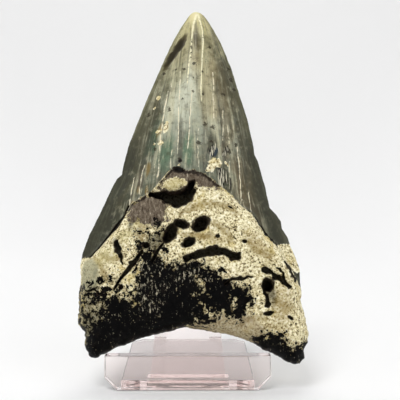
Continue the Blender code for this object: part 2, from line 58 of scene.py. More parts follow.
# %% Colour and curve helpers
def linear(code):
    """Linear RGBA of an sRGB hex value: each channel is undone with the sRGB curve."""
    srgb = np.array([int(code[i:i + 2], 16) for i in (1, 3, 5)]) / 255
    rgb = np.where(srgb <= 0.04045, srgb / 12.92, ((srgb + 0.055) / 1.055) ** 2.4)
    return (*rgb.tolist(), 1.0)


def smooth(low, high, value):
    """An S curve: 0 at low, 1 at high, with t * t * (3 - 2t) between."""
    t = np.clip((value - low) / (high - low), 0, 1)
    return t * t * (3 - 2 * t)


def along(table, at):
    """Reads y at each x of a list of (x, y) by straight lines between the points."""
    x, y = np.array(table, float).T
    order = np.argsort(x)
    return np.interp(at, x[order], y[order])


# %% [markdown]
# ## The tooth's plan
#
# The tooth is described flat, as if it lay on a table: x runs across it, s runs up
# it from the level where it sits on the bar, and n is the height of its display face
# above the middle sheet. All three are in millimetres. Two tables give its left and
# right edges, and a third gives the arch between the lobes of the root.

# %% The tooth's outline, in mm
TIP_S, TIP_X = 125.1, 1.1
LEFT_EDGE = [   # (s, x), from the tip down
    (TIP_S, TIP_X), (125.0, 0.4), (124.6, -0.4), (123.7, -1.3), (122.3, -2.3), (119.0, -4.5),
    (112.9, -7.8), (103.8, -11.8), (91.7, -16.9), (79.7, -21.5), (73.8, -23.7),
    (67.9, -25.1), (63.8, -25.8), (62.3, -27.6), (60.5, -28.6), (50.3, -33.2),
    (41.6, -37.4), (35.2, -39.6), (30.1, -40.6), (27.1, -39.9), (20.0, -40.6),
    (10.0, -40.8), (7.4, -38.3), (3.3, -38.4), (0.9, -37.7), (-0.7, -36.7),
    (-1.4, -35.7),
]
RIGHT_EDGE = [
    (TIP_S, TIP_X), (125.0, 1.8), (124.7, 2.7), (123.7, 4.0), (122.3, 5.1), (119.0, 7.2),
    (112.9, 10.4), (103.8, 14.0), (91.7, 17.6), (84.2, 19.9), (73.4, 22.2),
    (71.2, 22.3), (68.9, 23.5), (59.8, 26.0), (51.7, 27.7), (49.2, 30.0),
    (46.6, 31.7), (44.1, 32.0), (41.3, 33.8), (37.9, 34.9), (34.0, 36.7),
    (29.1, 38.2), (25.4, 38.2), (21.1, 38.7), (18.9, 38.2), (15.5, 39.0),
    (7.4, 40.8), (3.4, 40.5), (0.7, 39.2), (-1.7, 39.2), (-3.6, 37.6),
]
ARCH = [        # (x, s), from the left lobe to the right one
    (-35.7, -1.4), (-33.3, -1.3), (-29.4, 0.6), (-27.3, 2.0), (-22.6, 3.5),
    (-19.9, 4.8), (-14.8, 6.0), (-4.7, 8.5), (-1.9, 8.9), (0.5, 8.5),
    (11.7, 6.7), (17.0, 5.1), (21.8, 3.1), (24.8, 1.1), (27.9, -0.1),
    (32.9, -3.0), (35.3, -4.0), (37.6, -3.6),
]
print("outline:", len(LEFT_EDGE) + len(RIGHT_EDGE) + len(ARCH), "points drawn by hand")

# %% [markdown]
# Rows of points run across the tooth. In the crown they are level, and lower down
# they bend more and more, until the last row lies on the arch. The rows are closer
# together over the pitted root, which has most of the detail.

# %% A grid of points over the plan
COLUMNS, ROWS = 212, 236
ROW_SPACING = [    # (share of the rows, share of the way from the tip to the arch)
    (0, 0), (0.02, 0.004), (0.05, 0.022), (0.30, 0.43), (0.93, 0.95), (0.97, 0.984), (1, 1),
]
BEND_FROM, BEND_POWER = 0.3, 1.6     # where the rows start to bend, and how suddenly


def plan_grid():
    """x and s of the grid: edge to edge along each row, plus the arch's rise times a
    bend that grows from 0 in the crown to 1 at the last row."""
    t = along(ROW_SPACING, np.linspace(0, 1, ROWS))
    across = np.linspace(0, 1, COLUMNS)
    left_s = TIP_S + (LEFT_EDGE[-1][0] - TIP_S) * t
    right_s = TIP_S + (RIGHT_EDGE[-1][0] - TIP_S) * t
    left_x, right_x = along(LEFT_EDGE, left_s), along(RIGHT_EDGE, right_s)
    x = left_x[:, None] + (right_x - left_x)[:, None] * across
    level = left_s[:, None] + (right_s - left_s)[:, None] * across
    (ax, a_s), (bx, b_s) = ARCH[0], ARCH[-1]
    rise = along(ARCH, ax + (bx - ax) * across) - (a_s + (b_s - a_s) * across)
    bend = np.clip((t - BEND_FROM) / (1 - BEND_FROM), 0, 1) ** BEND_POWER
    return x, level + bend[:, None] * rise, np.broadcast_to(across * 2 - 1, x.shape)


X, S, W = plan_grid()
print("plan:", X.shape, "points, x", X.min().round(1), X.max().round(1))

# %% [markdown]
# The root is round at its rim, so its height depends on how far a point is from the
# outline. That distance is worked out once, for the whole grid.


# %% Distance to the outline
OUTLINE_STEP = 0.4     # mm between the points that distances are measured to
AT_A_TIME = 1000       # points measured in one go, to spare memory


def outline_loop():
    """The outline as evenly spaced points."""
    corners = [(x, s) for s, x in LEFT_EDGE] + ARCH[1:-1]
    corners = np.array(corners + [(x, s) for s, x in reversed(RIGHT_EDGE)])
    after = np.roll(corners, -1, axis=0)
    reach = np.concatenate([[0], np.cumsum(np.linalg.norm(after - corners, axis=1))])
    at = np.arange(0, reach[-1], OUTLINE_STEP)
    closed = np.vstack([corners, corners[:1]])
    return np.stack([np.interp(at, reach, closed[:, 0]), np.interp(at, reach, closed[:, 1])], 1)


def distance_inside(x, s):
    """Each point's distance to the nearest point of the outline."""
    loop = outline_loop()
    points = np.stack([x.ravel(), s.ravel()], 1)
    chunks = [points[i:i + AT_A_TIME] for i in range(0, len(points), AT_A_TIME)]
    near = [np.sqrt(((c[:, None] - loop) ** 2).sum(2)).min(1) for c in chunks]
    return np.concatenate(near).reshape(x.shape)


def zero_at_rim(values):
    """The same grid with its first and last rows and columns set to 0."""
    values[[0, -1]] = 0
    values[:, [0, -1]] = 0
    return values


INSIDE = zero_at_rim(distance_inside(X, S))
print("widest half:", INSIDE.max().round(1), "mm from the outline")

# %% [markdown]
# Bone and crust are rough at every size at once. Noise gives that: random heights
# on a square lattice, blended smoothly, and added up at finer and finer sizes.


# %% Noise in numpy
LATTICE = 256          # heights along each side of a table, after which it repeats
OFF_CENTRE = 500.3, 500.7     # keeps the lattice's lines off the tooth's middle line
FINER = 1.9            # how many times finer each noise of a sum is than the last


def value_noise(x, s, size, seed):
    """Random heights from -1 to 1 on a lattice `size` mm apart, joined by S curves."""
    table = np.random.default_rng(seed).uniform(-1, 1, (LATTICE, LATTICE))
    u, v = x / size + OFF_CENTRE[0], s / size + OFF_CENTRE[1]
    i, j = np.floor(u).astype(int), np.floor(v).astype(int)
    f, g = smooth(0, 1, u - i), smooth(0, 1, v - j)
    i, j = i % (LATTICE - 1), j % (LATTICE - 1)
    low = table[i, j] * (1 - f) + table[i + 1, j] * f
    high = table[i, j + 1] * (1 - f) + table[i + 1, j + 1] * f
    return low * (1 - g) + high * g


def rough(x, s, size, seed, octaves=4, keep=0.55):
    """A sum of noises. Each is finer than the last, turned by 1.1 radians, and `keep` as high."""
    total, weight = 0.0, 0.0
    for k in range(octaves):
        turn = 1.1 * k
        u, v = x * np.cos(turn) - s * np.sin(turn), x * np.sin(turn) + s * np.cos(turn)
        total = total + keep ** k * value_noise(u, v, size / FINER ** k, seed + k)
        weight += keep ** k
    return total / weight


# %% [markdown]
# ## Where each kind of surface lies
#
# On the display face the enamel ends in an upturned V. Below it the root is mostly
# a pale, pitted crust. In the middle and on the lobes the crust has gone, and dark
# glossy bone shows. A smooth brown band, the neck of the tooth, shows under the
# enamel. Each patch is a loop of points, and what is kept is the signed distance
# to its border, so that the shader can roughen the border later.

# %% Patches, in mm
ENAMEL_FRONT = [    # (x, s) of the enamel's lower edge on the display face
    (-40.2, 33.4), (-36.0, 33.9), (-32.6, 37.8), (-28.1, 43.0), (-24.3, 48.0),
    (-21.5, 52.6), (-14.5, 56.4), (-10.8, 60.6), (-7.2, 64.6), (-5.2, 63.7),
    (0.7, 63.7), (4.9, 61.9), (7.6, 59.8), (13.7, 55.0), (16.5, 51.8),
    (20.7, 49.0), (22.8, 45.8), (25.2, 41.9), (30.1, 37.3), (33.2, 32.6),
    (36.0, 27.5), (38.6, 22.5),
]
BACK_ENAMEL_S, BACK_ENAMEL_RISE, BACK_ENAMEL_HALF = 33.0, 6.0, 40     # its arch on the back
BARE_FRONT = [
    [(-35.5, 18.5), (-32.1, 19.2), (-27.9, 21.6), (-24.5, 19.9), (-20.4, 18.5), (-19.7, 23.7),
     (-19.7, 29.5), (-18.0, 31.5), (-17.0, 35.0), (-13.9, 35.0), (-9.4, 31.5), (-7.3, 29.5),
     (-4.5, 31.2), (-1.1, 32.2), (2.4, 31.5), (4.8, 29.5), (9.3, 27.7), (11.4, 25.3),
     (14.5, 23.6), (19.6, 22.6), (20.0, 16.4), (16.2, 12.6), (13.4, 12.3), (10.0, 14.4),
     (7.2, 12.3), (1.0, 11.0), (-2.8, 8.2), (-8.0, 6.2), (-14.9, 3.1), (-25.2, -1.3),
     (-31.4, -4.0), (-37.6, -4.0), (-39.6, 1.5), (-36.9, 6.6), (-34.8, 12.4), (-36.2, 15.8)],
    [(20.9, 5.4), (26.6, 6.9), (30.4, 6.7), (32.2, 4.2), (34.0, 2.5), (36.6, 2.9), (41.3, 5.4),
     (42.3, -0.8), (39.2, -7.2), (31.7, -7.1), (26.2, -3.7), (20.1, 1.4)],
]
NECK_FRONT = [
    [(-22.7, 51.6), (-20.3, 52.9), (-15.1, 55.8), (-11.5, 55.5), (-8.7, 51.1), (-9.1, 48.6),
     (-8.7, 46.1), (-11.5, 44.0), (-14.6, 43.0), (-18.5, 45.5), (-20.9, 45.5), (-23.0, 47.9)],
    [(-10.4, 61.0), (-7.4, 65.0), (-2.8, 64.6), (0.7, 65.0), (4.9, 63.2), (8.0, 60.7),
     (10.1, 56.8), (7.7, 57.5), (4.2, 57.8), (1.0, 58.2), (-1.2, 56.0), (-8.0, 54.5),
     (-13.0, 56.8)],
]

# %% Patches within patches
LIGHT_IN_BARE = [    # places in the bare bone where half the crust is left
    [(-0.5, 26.3), (3.4, 27.0), (4.6, 23.3), (5.0, 20.6), (2.4, 18.4), (-0.8, 19.6), (0.1, 22.6)],
    [(11.0, 19.6), (15.4, 19.2), (16.9, 16.6), (14.4, 14.6), (11.4, 16.6)],
    [(3.8, 16.2), (7.6, 15.8), (9.6, 12.6), (6.2, 10.9), (3.2, 12.6)],
    [(-40.8, 20.2), (-34.8, 19.8), (-30.2, 19.0), (-28.8, 15.4), (-31.2, 11.8), (-34.8, 9.4),
     (-40.8, 9.4)],
]
MOTTLED = [    # crust with bone showing through: (how far towards bare, loop)
    (0.1, [(-41.0, 22.0), (-32.1, 25.4), (-24.9, 24.9), (-22.0, 19.2), (-28.5, 14.5),
           (-30.8, 8.4), (-33.6, 1.5), (-42.4, 4.3), (-42.3, 18.5)]),
    (0.1, [(-25.0, 6.0), (-8.0, 10.5), (3.0, 12.5), (8.0, 12.0), (2.0, 9.5), (-6.0, 6.5),
           (-25.0, 1.5)]),
    (-0.1, [(-19.0, 40.6), (-16.0, 39.4), (-14.6, 42.6), (-11.6, 43.6), (-9.6, 39.5),
            (-10.1, 35.0), (-15.0, 34.0), (-19.0, 34.0)]),
]
TAN = [(-3.1, 8.0), (2.4, 11.6), (10.0, 14.3), (13.4, 12.3), (18.2, 14.3), (24.4, 9.4),
       (23.8, 3.4), (16.2, 2.1), (7.5, 4.8)]
PALE = [(-38.7, 32.2), (-35.6, 33.6), (-32.6, 30.6), (-32.0, 26.1), (-33.3, 22.4), (-36.9, 21.0),
        (-39.6, 23.7)]
print("patches:", len(BARE_FRONT) + len(NECK_FRONT) + len(LIGHT_IN_BARE) + len(MOTTLED) + 2)


# %% Distances to the patches' borders
def to_segment(x, s, start, end):
    """The distance to a straight line between two points, and how far along it (0 to 1)
    its nearest point lies."""
    (ax, ay), (bx, by) = start, end
    t = ((x - ax) * (bx - ax) + (s - ay) * (by - ay)) / ((bx - ax) ** 2 + (by - ay) ** 2)
    t = np.clip(t, 0, 1)
    return np.hypot(x - ax - t * (bx - ax), s - ay - t * (by - ay)), t


def signed_patch(x, s, loop):
    """Distance to a loop's border, positive inside it. Inside is told by counting crossings."""
    loop = np.array(loop)
    inside = np.zeros(x.shape, bool)
    nearest = np.full(x.shape, 1e9)
    for (ax, ay), (bx, by) in zip(loop, np.roll(loop, -1, axis=0)):
        inside ^= ((ay > s) != (by > s)) & (x < (bx - ax) * (s - ay) / (by - ay + 1e-12) + ax)
        nearest = np.minimum(nearest, to_segment(x, s, (ax, ay), (bx, by))[0])
    return np.where(inside, nearest, -nearest)


def patches(loops):
    """The largest of several loops' signed distances: positive inside any of them."""
    return np.maximum.reduce([signed_patch(X, S, loop) for loop in loops])


MOTTLE_SLOPE = 0.6                 # mottled patches fade out over a wider border
LIGHT_DEPTH, LIGHT_FLOOR = 1.2, 0.1     # where a light place is full, and how bare it stays
FAR = 6                            # distances past this many mm say nothing more
edge_front = along(ENAMEL_FRONT, X)
edge_back = BACK_ENAMEL_S + BACK_ENAMEL_RISE * (1 - (X / BACK_ENAMEL_HALF) ** 2)
enamel_front = (S - edge_front) * 0.75     # the V is steep, so a straight drop overstates it
enamel_back = S - edge_back + 2.2 * rough(X, S, 11.0, 131, octaves=3)
mottled = [np.minimum(MOTTLE_SLOPE * signed_patch(X, S, loop), most) for most, loop in MOTTLED]
bare_front = np.maximum.reduce([patches(BARE_FRONT), *mottled])
light = np.maximum(-patches(LIGHT_IN_BARE), -LIGHT_DEPTH) + LIGHT_DEPTH + LIGHT_FLOOR
bare_front = np.clip(np.minimum(bare_front, light), -FAR, FAR)
neck_front = patches(NECK_FRONT)
tan_front, pale_front = signed_patch(X, S, TAN), signed_patch(X, S, PALE)
print("bare bone covers", round(float((bare_front > 0).mean()), 2), "of the grid")

# %% [markdown]
# ## Pits, slits and cracks
#
# Borers and rot have opened the root: round holes, a bean-shaped one, and long slits.
# A pit is an ellipse with steep walls. A slit is every point within its half-width of
# a route. Both give one number, 0 on the border and 1 in the middle.

# %% The holes, in mm
PITS = [     # (x, s, half-length, half-width, turn in degrees, depth)
    (2.6, 44.4, 3.7, 2.7, 42, 6.0), (-4.2, 44.5, 2.9, 1.7, -14, 5.0),
    (-7.9, 41.2, 4.5, 2.3, 58, 4.0), (-1.6, 38.2, 2.7, 1.9, 32, 5.0),
    (25.7, 23.5, 2.6, 2.3, 80, 5.5), (26.2, 13.9, 2.1, 0.9, 8, 2.0),
    (-24.8, 22.9, 1.0, 0.9, 0, 2.0), (-16.1, 37.0, 1.4, 1.2, 0, 2.5),
    (-5.0, 63.9, 2.2, 1.0, -12, 1.4), (-4.7, 67.2, 0.8, 0.6, 30, 0.6),
    (-21.4, 31.4, 0.9, 0.7, 20, 1.4), (33.6, 12.4, 1.1, 0.6, -30, 1.2),
    (17.6, 38.6, 0.9, 0.6, 10, 1.2),
    (13.0, 50.4, 1.3, 0.35, -25, 0.8), (8.4, 40.2, 1.0, 0.6, 15, 1.0),
]
SLITS = [    # routes of (x, s, half-width), with a depth
    ([(-14.6, 55.6, 0.8), (-11.5, 54.8, 1.5), (-8.7, 53.6, 2.4), (-5.6, 52.8, 3.1),
      (-2.7, 54.2, 2.9), (-0.8, 56.4, 2.1), (-0.5, 59.2, 1.1)], 5.0),
    ([(-2.4, 32.7, 1.3), (1.4, 33.6, 1.5), (4.5, 34.7, 1.7), (7.6, 35.3, 1.8),
      (11.0, 34.6, 1.6), (14.9, 33.0, 1.6)], 3.2),
    ([(24.2, 28.9, 0.9), (27.0, 27.4, 0.9), (30.1, 25.6, 0.8), (32.9, 22.9, 0.8)], 2.2),
    ([(29.0, 29.5, 0.4), (31.4, 26.6, 0.6), (33.4, 23.0, 0.8)], 2.2),
    ([(24.5, 21.5, 0.6), (25.2, 19.2, 0.9), (25.7, 17.0, 1.1)], 2.2),
    ([(-10.4, 37.4, 0.5), (-12.5, 34.6, 0.8), (-13.8, 31.6, 0.6)], 1.4),
    ([(-37.6, 21.4, 0.3), (-34.5, 22.4, 0.5), (-32.4, 20.6, 0.5), (-30.6, 21.4, 0.3)], 1.2),
    ([(20.4, 26.2, 0.3), (16.6, 26.0, 0.7), (13.0, 25.4, 0.6), (10.8, 23.6, 0.4)], 1.3),
    ([(-17.4, 35.2, 0.6), (-19.5, 32.4, 0.9), (-21.8, 29.4, 0.9), (-24.6, 26.2, 0.6),
      (-27.3, 22.0, 0.4)], 1.8),
    ([(32.0, 31.6, 0.5), (34.0, 28.6, 0.9), (36.0, 25.4, 0.7)], 1.3),
    ([(-26.6, 38.2, 0.8), (-25.8, 35.6, 1.3), (-24.8, 33.0, 0.6), (-24.5, 30.4, 0.35)], 1.6),
    ([(19.4, 50.4, 0.25), (22.6, 45.9, 0.45), (25.4, 41.9, 0.4), (29.9, 37.3, 0.3)], 1.0),
    ([(-36.2, 34.0, 0.3), (-32.6, 37.6, 0.4), (-29.2, 41.6, 0.7), (-26.8, 44.3, 1.1),
      (-24.4, 47.6, 0.6), (-23.0, 51.5, 0.3)], 1.8),
]
FURROWS = [    # shallow folds in the crust: routes of (x, s, half-width)
    [(-4.4, 47.9, 0.8), (0.4, 50.2, 1.2), (5.7, 51.5, 1.2), (11.4, 50.6, 1.0), (15.0, 48.3, 0.8)],
    [(-20.2, 47.2, 0.8), (-17.5, 43.0, 1.1), (-18.0, 39.0, 0.8)],
    [(7.5, 44.5, 0.8), (11.5, 41.6, 1.2), (13.2, 38.4, 0.9)],
    [(-34.6, 33.2, 0.8), (-31.4, 29.6, 1.0), (-30.6, 26.0, 0.8)],
    [(-3.6, 41.2, 0.7), (2.2, 40.0, 1.0), (6.6, 40.6, 0.8)],
    [(18.5, 38.6, 0.9), (22.4, 34.8, 1.2), (26.0, 33.4, 0.9)],
    [(28.6, 18.4, 0.9), (31.8, 15.8, 1.3), (34.8, 15.6, 1.0)],
    [(16.6, 9.6, 0.8), (21.0, 12.6, 1.1), (24.8, 11.8, 0.9)],
    [(-24.4, 33.2, 0.7), (-28.4, 31.8, 0.9), (-31.8, 34.0, 0.7)],
]
print("holes:", len(PITS), "pits,", len(SLITS), "slits,", len(FURROWS), "furrows")


# %% Nearness to a hole
def in_pit(x, s, pit):
    """1 at an ellipse's middle, 0 on its border and less outside."""
    cx, cy, length, width, turn, _ = pit
    c, d = np.cos(np.radians(turn)), np.sin(np.radians(turn))
    a = ((x - cx) * c + (s - cy) * d) / length
    b = ((s - cy) * c - (x - cx) * d) / width
    return 1 - np.hypot(a, b)


def in_slit(x, s, route):
    """1 on the route, 0 at its half-width from it and less outside."""
    best = np.full(x.shape, -1e9)
    for start, end in zip(route, route[1:]):
        away, t = to_segment(x, s, start[:2], end[:2])
        best = np.maximum(best, 1 - away / (start[2] + t * (end[2] - start[2])))
    return best


def closest(routes, x, s):
    """The largest of several routes' values, so the nearest route counts."""
    return np.maximum.reduce([in_slit(x, s, route) for route in routes])


WALL = 0.42     # share of a hole's half-width that its sloping wall takes
wobble = 0.45 * rough(X, S, 2.2, 71, octaves=3)     # borders aren't drawn with a compass
nibble = wobble + 0.55 * rough(X, S, 1.5, 77, octaves=2)     # and holes are more ragged
holes = [(in_pit(X + 0.5 * nibble, S - 0.5 * nibble, pit), pit[5]) for pit in PITS]
holes += [(in_slit(X + nibble, S + nibble, route), depth) for route, depth in SLITS]
hole_depth = np.maximum.reduce([depth * smooth(0.0, WALL, near) for near, depth in holes])
hole_front = np.maximum.reduce([near for near, _ in holes])
furrow_front = closest(FURROWS, X + 2 * wobble, S - 2 * wobble)
print("deepest hole:", hole_depth.max().round(1), "mm")

# %% [markdown]
# ## Marks on the enamel
#
# Fine cracks run down the enamel from the tip and have filled with cream silt. Two
# raised cream ridges start at the tip. A worn scar lies beside the tip, and a few
# crumbs of crust still stick to the enamel.

# %% Cracks, ridges, crumbs and the scar, in mm
CRACKS = [    # routes of (x, s, half-width)
    [(-9.0, 93.8, 0.3), (-9.5, 90.8, 0.5), (-10.2, 87.7, 0.5), (-10.6, 84.3, 0.4),
     (-11.1, 79.5, 0.5), (-11.6, 75.0, 0.5), (-11.9, 69.5, 0.4), (-12.2, 64.0, 0.5),
     (-12.6, 60.4, 0.6), (-12.6, 57.9, 0.7)],
    [(-4.5, 101.5, 0.3), (-4.7, 95.7, 0.4), (-5.0, 90.0, 0.35), (-5.2, 81.7, 0.35),
     (-5.2, 75.0, 0.4), (-5.6, 69.5, 0.3)],
    [(-0.4, 93.8, 0.3), (-1.1, 83.2, 0.35), (-1.2, 78.7, 0.45), (-1.6, 75.0, 0.45),
     (-1.8, 71.3, 0.3)],
    [(7.1, 100.8, 0.3), (7.4, 97.7, 0.4), (7.4, 91.9, 0.4), (7.5, 87.0, 0.4), (7.4, 82.5, 0.3)],
    [(-7.9, 96.5, 0.3), (-8.1, 91.9, 0.3)],
    [(-7.3, 71.3, 0.3), (-7.8, 68.4, 0.35), (-7.7, 62.2, 0.3)],
    [(-17.1, 66.6, 0.3), (-18.3, 62.6, 0.45), (-18.9, 57.9, 0.45), (-19.2, 53.2, 0.4)],
    [(-21.1, 62.2, 0.3), (-21.9, 57.5, 0.4), (-22.4, 53.2, 0.4), (-23.0, 49.0, 0.35)],
    [(-16.3, 58.6, 0.25), (-16.4, 51.8, 0.3)],
    [(-13.5, 66.6, 0.2), (-13.7, 62.2, 0.25)],
    [(10.8, 87.0, 0.3), (10.8, 81.7, 0.35), (10.7, 75.0, 0.3)],
    [(12.3, 81.7, 0.25), (12.8, 77.6, 0.3), (13.0, 73.9, 0.3)],
    [(15.8, 73.6, 0.3), (16.4, 68.4, 0.45), (16.7, 62.2, 0.4), (16.9, 56.1, 0.4),
     (16.9, 52.1, 0.3)],
    [(13.1, 67.7, 0.3), (12.9, 62.2, 0.35), (13.0, 58.2, 0.3)],
    [(19.8, 56.8, 0.3), (20.1, 53.9, 0.3), (20.6, 51.1, 0.35), (20.7, 48.2, 0.3)],
    [(17.1, 54.6, 0.2), (18.5, 50.7, 0.25)],
    [(2.1, 79.5, 0.2), (1.6, 75.0, 0.3), (1.9, 69.5, 0.25), (1.9, 64.7, 0.25)],
    [(14.7, 81.4, 0.2), (14.4, 78.0, 0.2)],
]
RIDGES = [
    [(1.2, 123.5, 1.0), (0.4, 120.4, 0.7), (-0.1, 117.4, 0.6), (-0.5, 113.3, 0.5),
     (-0.8, 109.3, 0.6), (-1.2, 105.4, 0.7), (-1.6, 101.6, 0.5), (-2.2, 95.7, 0.3)],
    [(1.8, 123.5, 1.0), (2.8, 120.0, 0.6), (3.5, 117.4, 0.5), (3.8, 113.3, 0.5),
     (3.6, 109.3, 0.5), (3.3, 104.6, 0.5), (3.1, 99.6, 0.4), (2.9, 94.6, 0.5), (3.1, 89.0, 0.3)],
]
CRUMBS = [   # (x, s, half-length, half-width, turn, height)
    (-9.6, 79.9, 2.2, 1.0, 78, 0.35), (-11.4, 74.3, 1.3, 0.9, 30, 0.35),
    (-12.3, 78.7, 1.5, 0.6, 20, 0.25), (-12.6, 91.7, 1.1, 0.8, 50, 0.25),
    (-14.0, 87.7, 0.7, 0.5, 50, 0.2), (-14.0, 74.1, 0.6, 0.9, 0, 0.2),
    (7.0, 65.8, 2.6, 1.8, 75, 0.6), (8.9, 66.4, 1.3, 1.8, 0, 0.5), (5.6, 64.2, 1.5, 1.0, 40, 0.4),
    (11.9, 66.6, 1.3, 0.5, -40, 0.2), (-4.9, 65.6, 0.5, 0.35, 0, 0.2),
]
WING_CRUST = [(29.4, 37.2), (31.5, 38.6), (35.8, 38.8), (38.2, 33.6), (39.0, 28.6), (36.0, 28.6),
              (34.2, 30.4), (32.4, 33.2), (30.2, 34.4)]
SCAR = (-6.7, 109.0, 9.0, 1.8, 57, 0.9)     # as a pit: the last is its depth
LEDGE_LUMP = (-6.4, 58.6, 4.9, 2.5, 8, 1.5)     # the big lump in the middle of the V


# %% Nearness to a mark
def narrowed(routes, share):
    """The same routes with each half-width cut down to a share of it."""
    return [[(x, s, share * half) for x, s, half in route] for route in routes]


lumps = [*CRUMBS, LEDGE_LUMP]
crack_front = closest(narrowed(CRACKS, 0.74), X + 0.6 * wobble, S)
ridge_front = closest(narrowed(RIDGES, 0.72), X + 0.5 * wobble, S)
crumb_near = [in_pit(X + wobble, S + wobble, lump) for lump in lumps]
crumb_front = np.maximum.reduce([*crumb_near, signed_patch(X, S, WING_CRUST) / 2])
crumb_height = np.maximum.reduce([
    lump[5] * np.clip(near * 1.6, 0, 1) ** 0.6 for near, lump in zip(crumb_near, lumps)
])
scar_front = in_pit(X + 0.8 * nibble, S - 0.5 * nibble, SCAR)
print("cracks:", len(CRACKS), "crumbs:", len(CRUMBS))

# %% [markdown]
# ## Heights of the two faces
#
# The display face is strongly domed and the back nearly flat, as on the real tooth,
# where the domed side faced into the mouth. The crown's edges fall to a blade, the
# root's rim is rounded, and the two are blended across the enamel's edge.

# %% Height tables, in mm
CROWN_FRONT = [(0, 13.0), (55, 12.6), (70, 10.8), (90, 8.0), (105, 5.6), (115, 3.8),
               (121, 2.3), (TIP_S, 1.0)]
ROOT_FRONT = [(-5, 8.0), (8, 10.5), (20, 13.0), (34, 14.2), (48, 13.6), (60, 12.4), (75, 10.4)]
CROWN_BACK = [(20, 4.8), (50, 4.4), (80, 3.6), (105, 2.4), (120, 1.2), (TIP_S, 0.6)]
ROOT_BACK = [(-5, 6.0), (15, 7.0), (32, 7.2), (50, 5.0)]
ROOT_ROUND, ROOT_POWER = 7.5, 2.2     # width and squareness of the root's rounded rim
TIP_ROUND = 2.0            # and of the crown's thin edge
BLADE_SHARE = 0.45         # how much of the crown's section is a thin-edged lens
FRONT_FALL, BACK_FALL = 0.42, 0.25     # how far the root's two faces fall to its sides
CRUST_STEP, CRUST_LUMPS, BARE_DROP = 1.1, 0.95, 1.1
FINE_LUMPS, GROWTH_LINES = 0.38, 0.05
FURROW_DEPTH, RIDGE_HEIGHT, CRACK_DEPTH = 0.7, 0.14, 0.06
BACK_LUMPS, BACK_FINE_LUMPS, BACK_GROWTH_LINES = 0.55, 0.25, 0.04
print("thickest at the root:", max(n for _, n in ROOT_FRONT) + max(n for _, n in ROOT_BACK), "mm")


# %% The smooth dome
def mean_edge(edge):
    """An edge's x, averaged over 12 mm of height (less near the tip), so that a nick
    in the outline doesn't run across the dome as a ledge."""
    reach = np.clip((TIP_S - S) / 12, 0, 1)
    return np.mean([along(edge, S + rise * reach) for rise in np.linspace(-6, 6, 9)], axis=0)


EVEN_LIMIT = 0.975     # keeps the dome a little above 0 at the very edge
left_mean = mean_edge(LEFT_EDGE)
mean_width = np.maximum(mean_edge(RIGHT_EDGE) - left_mean, 1e-99)     # it is 0 at the tip
W_EVEN = np.clip(2 * (X - left_mean) / mean_width - 1, -EVEN_LIMIT, EVEN_LIMIT)
rim = 1 - np.clip(INSIDE / ROOT_ROUND, 0, 1)
rounded = (1 - rim ** ROOT_POWER) ** (1 / ROOT_POWER)
tip = np.clip(INSIDE / TIP_ROUND, 0, 1) ** 0.5
lens = (1 - BLADE_SHARE) * (1 - W_EVEN ** 2) ** 1.5 + BLADE_SHARE * (1 - W_EVEN ** 2)
root_share = smooth(edge_front + 2, edge_front - 5, S)
dome = along(CROWN_FRONT, S) * lens * tip * (1 - root_share)
dome += along(ROOT_FRONT, S) * (1 - FRONT_FALL * W ** 2) * rounded * root_share
print("dome: 0 to", dome.max().round(1), "mm")

# %% [markdown]
# On the dome lie the crust's step and lumps, and what breaks them: bare bone, the
# neck band, furrows and holes. All of it fades out in the last 3 mm before the
# outline, where the two faces meet.

# %% The display face
fade = smooth(0.3, 3.0, INSIDE)
grain = rough(X, S, 4.6, 11) + 0.35 * rough(X, S, 1.5, 21, octaves=3)
crust = smooth(0.35, -0.45, enamel_front + 0.5 * wobble)
bare = smooth(-0.4, 0.3, bare_front + 1.6 * rough(X, S, 3.0, 31))
neck = smooth(-0.5, 0.5, neck_front + 1.2 * rough(X, S, 2.0, 41))
gone = np.clip(bare + neck, 0, 1) * crust
front = dome + crust * fade * (CRUST_STEP - BARE_DROP * gone)
front += crust * fade * CRUST_LUMPS * grain * (1 - 0.45 * gone)
front += crust * fade * FINE_LUMPS * (1 - 0.6 * gone) * rough(X, S, 1.3, 51, octaves=2)
front += (1 - crust) * fade * GROWTH_LINES * rough(W * 60, S * 0.12, 1.0, 61, octaves=3)
front += crumb_height * (1 + 0.5 * grain) * fade
front -= crust * fade * FURROW_DEPTH * smooth(-0.8, 0.9, furrow_front)
front += RIDGE_HEIGHT * smooth(0, 0.8, ridge_front)
front -= SCAR[5] * smooth(-0.1, 0.6, scar_front) * fade
front -= CRACK_DEPTH * smooth(0, 0.6, crack_front) * (1 - crust)
front = zero_at_rim(front - hole_depth * fade)
print("display face: 0 to", front.max().round(1), "mm")

# %% [markdown]
# The back is plainer: enamel reaches lower on it, along a shallow arch, and the
# root below has rounded lumps. It gets its own noise, so that the two faces
# don't repeat each other.

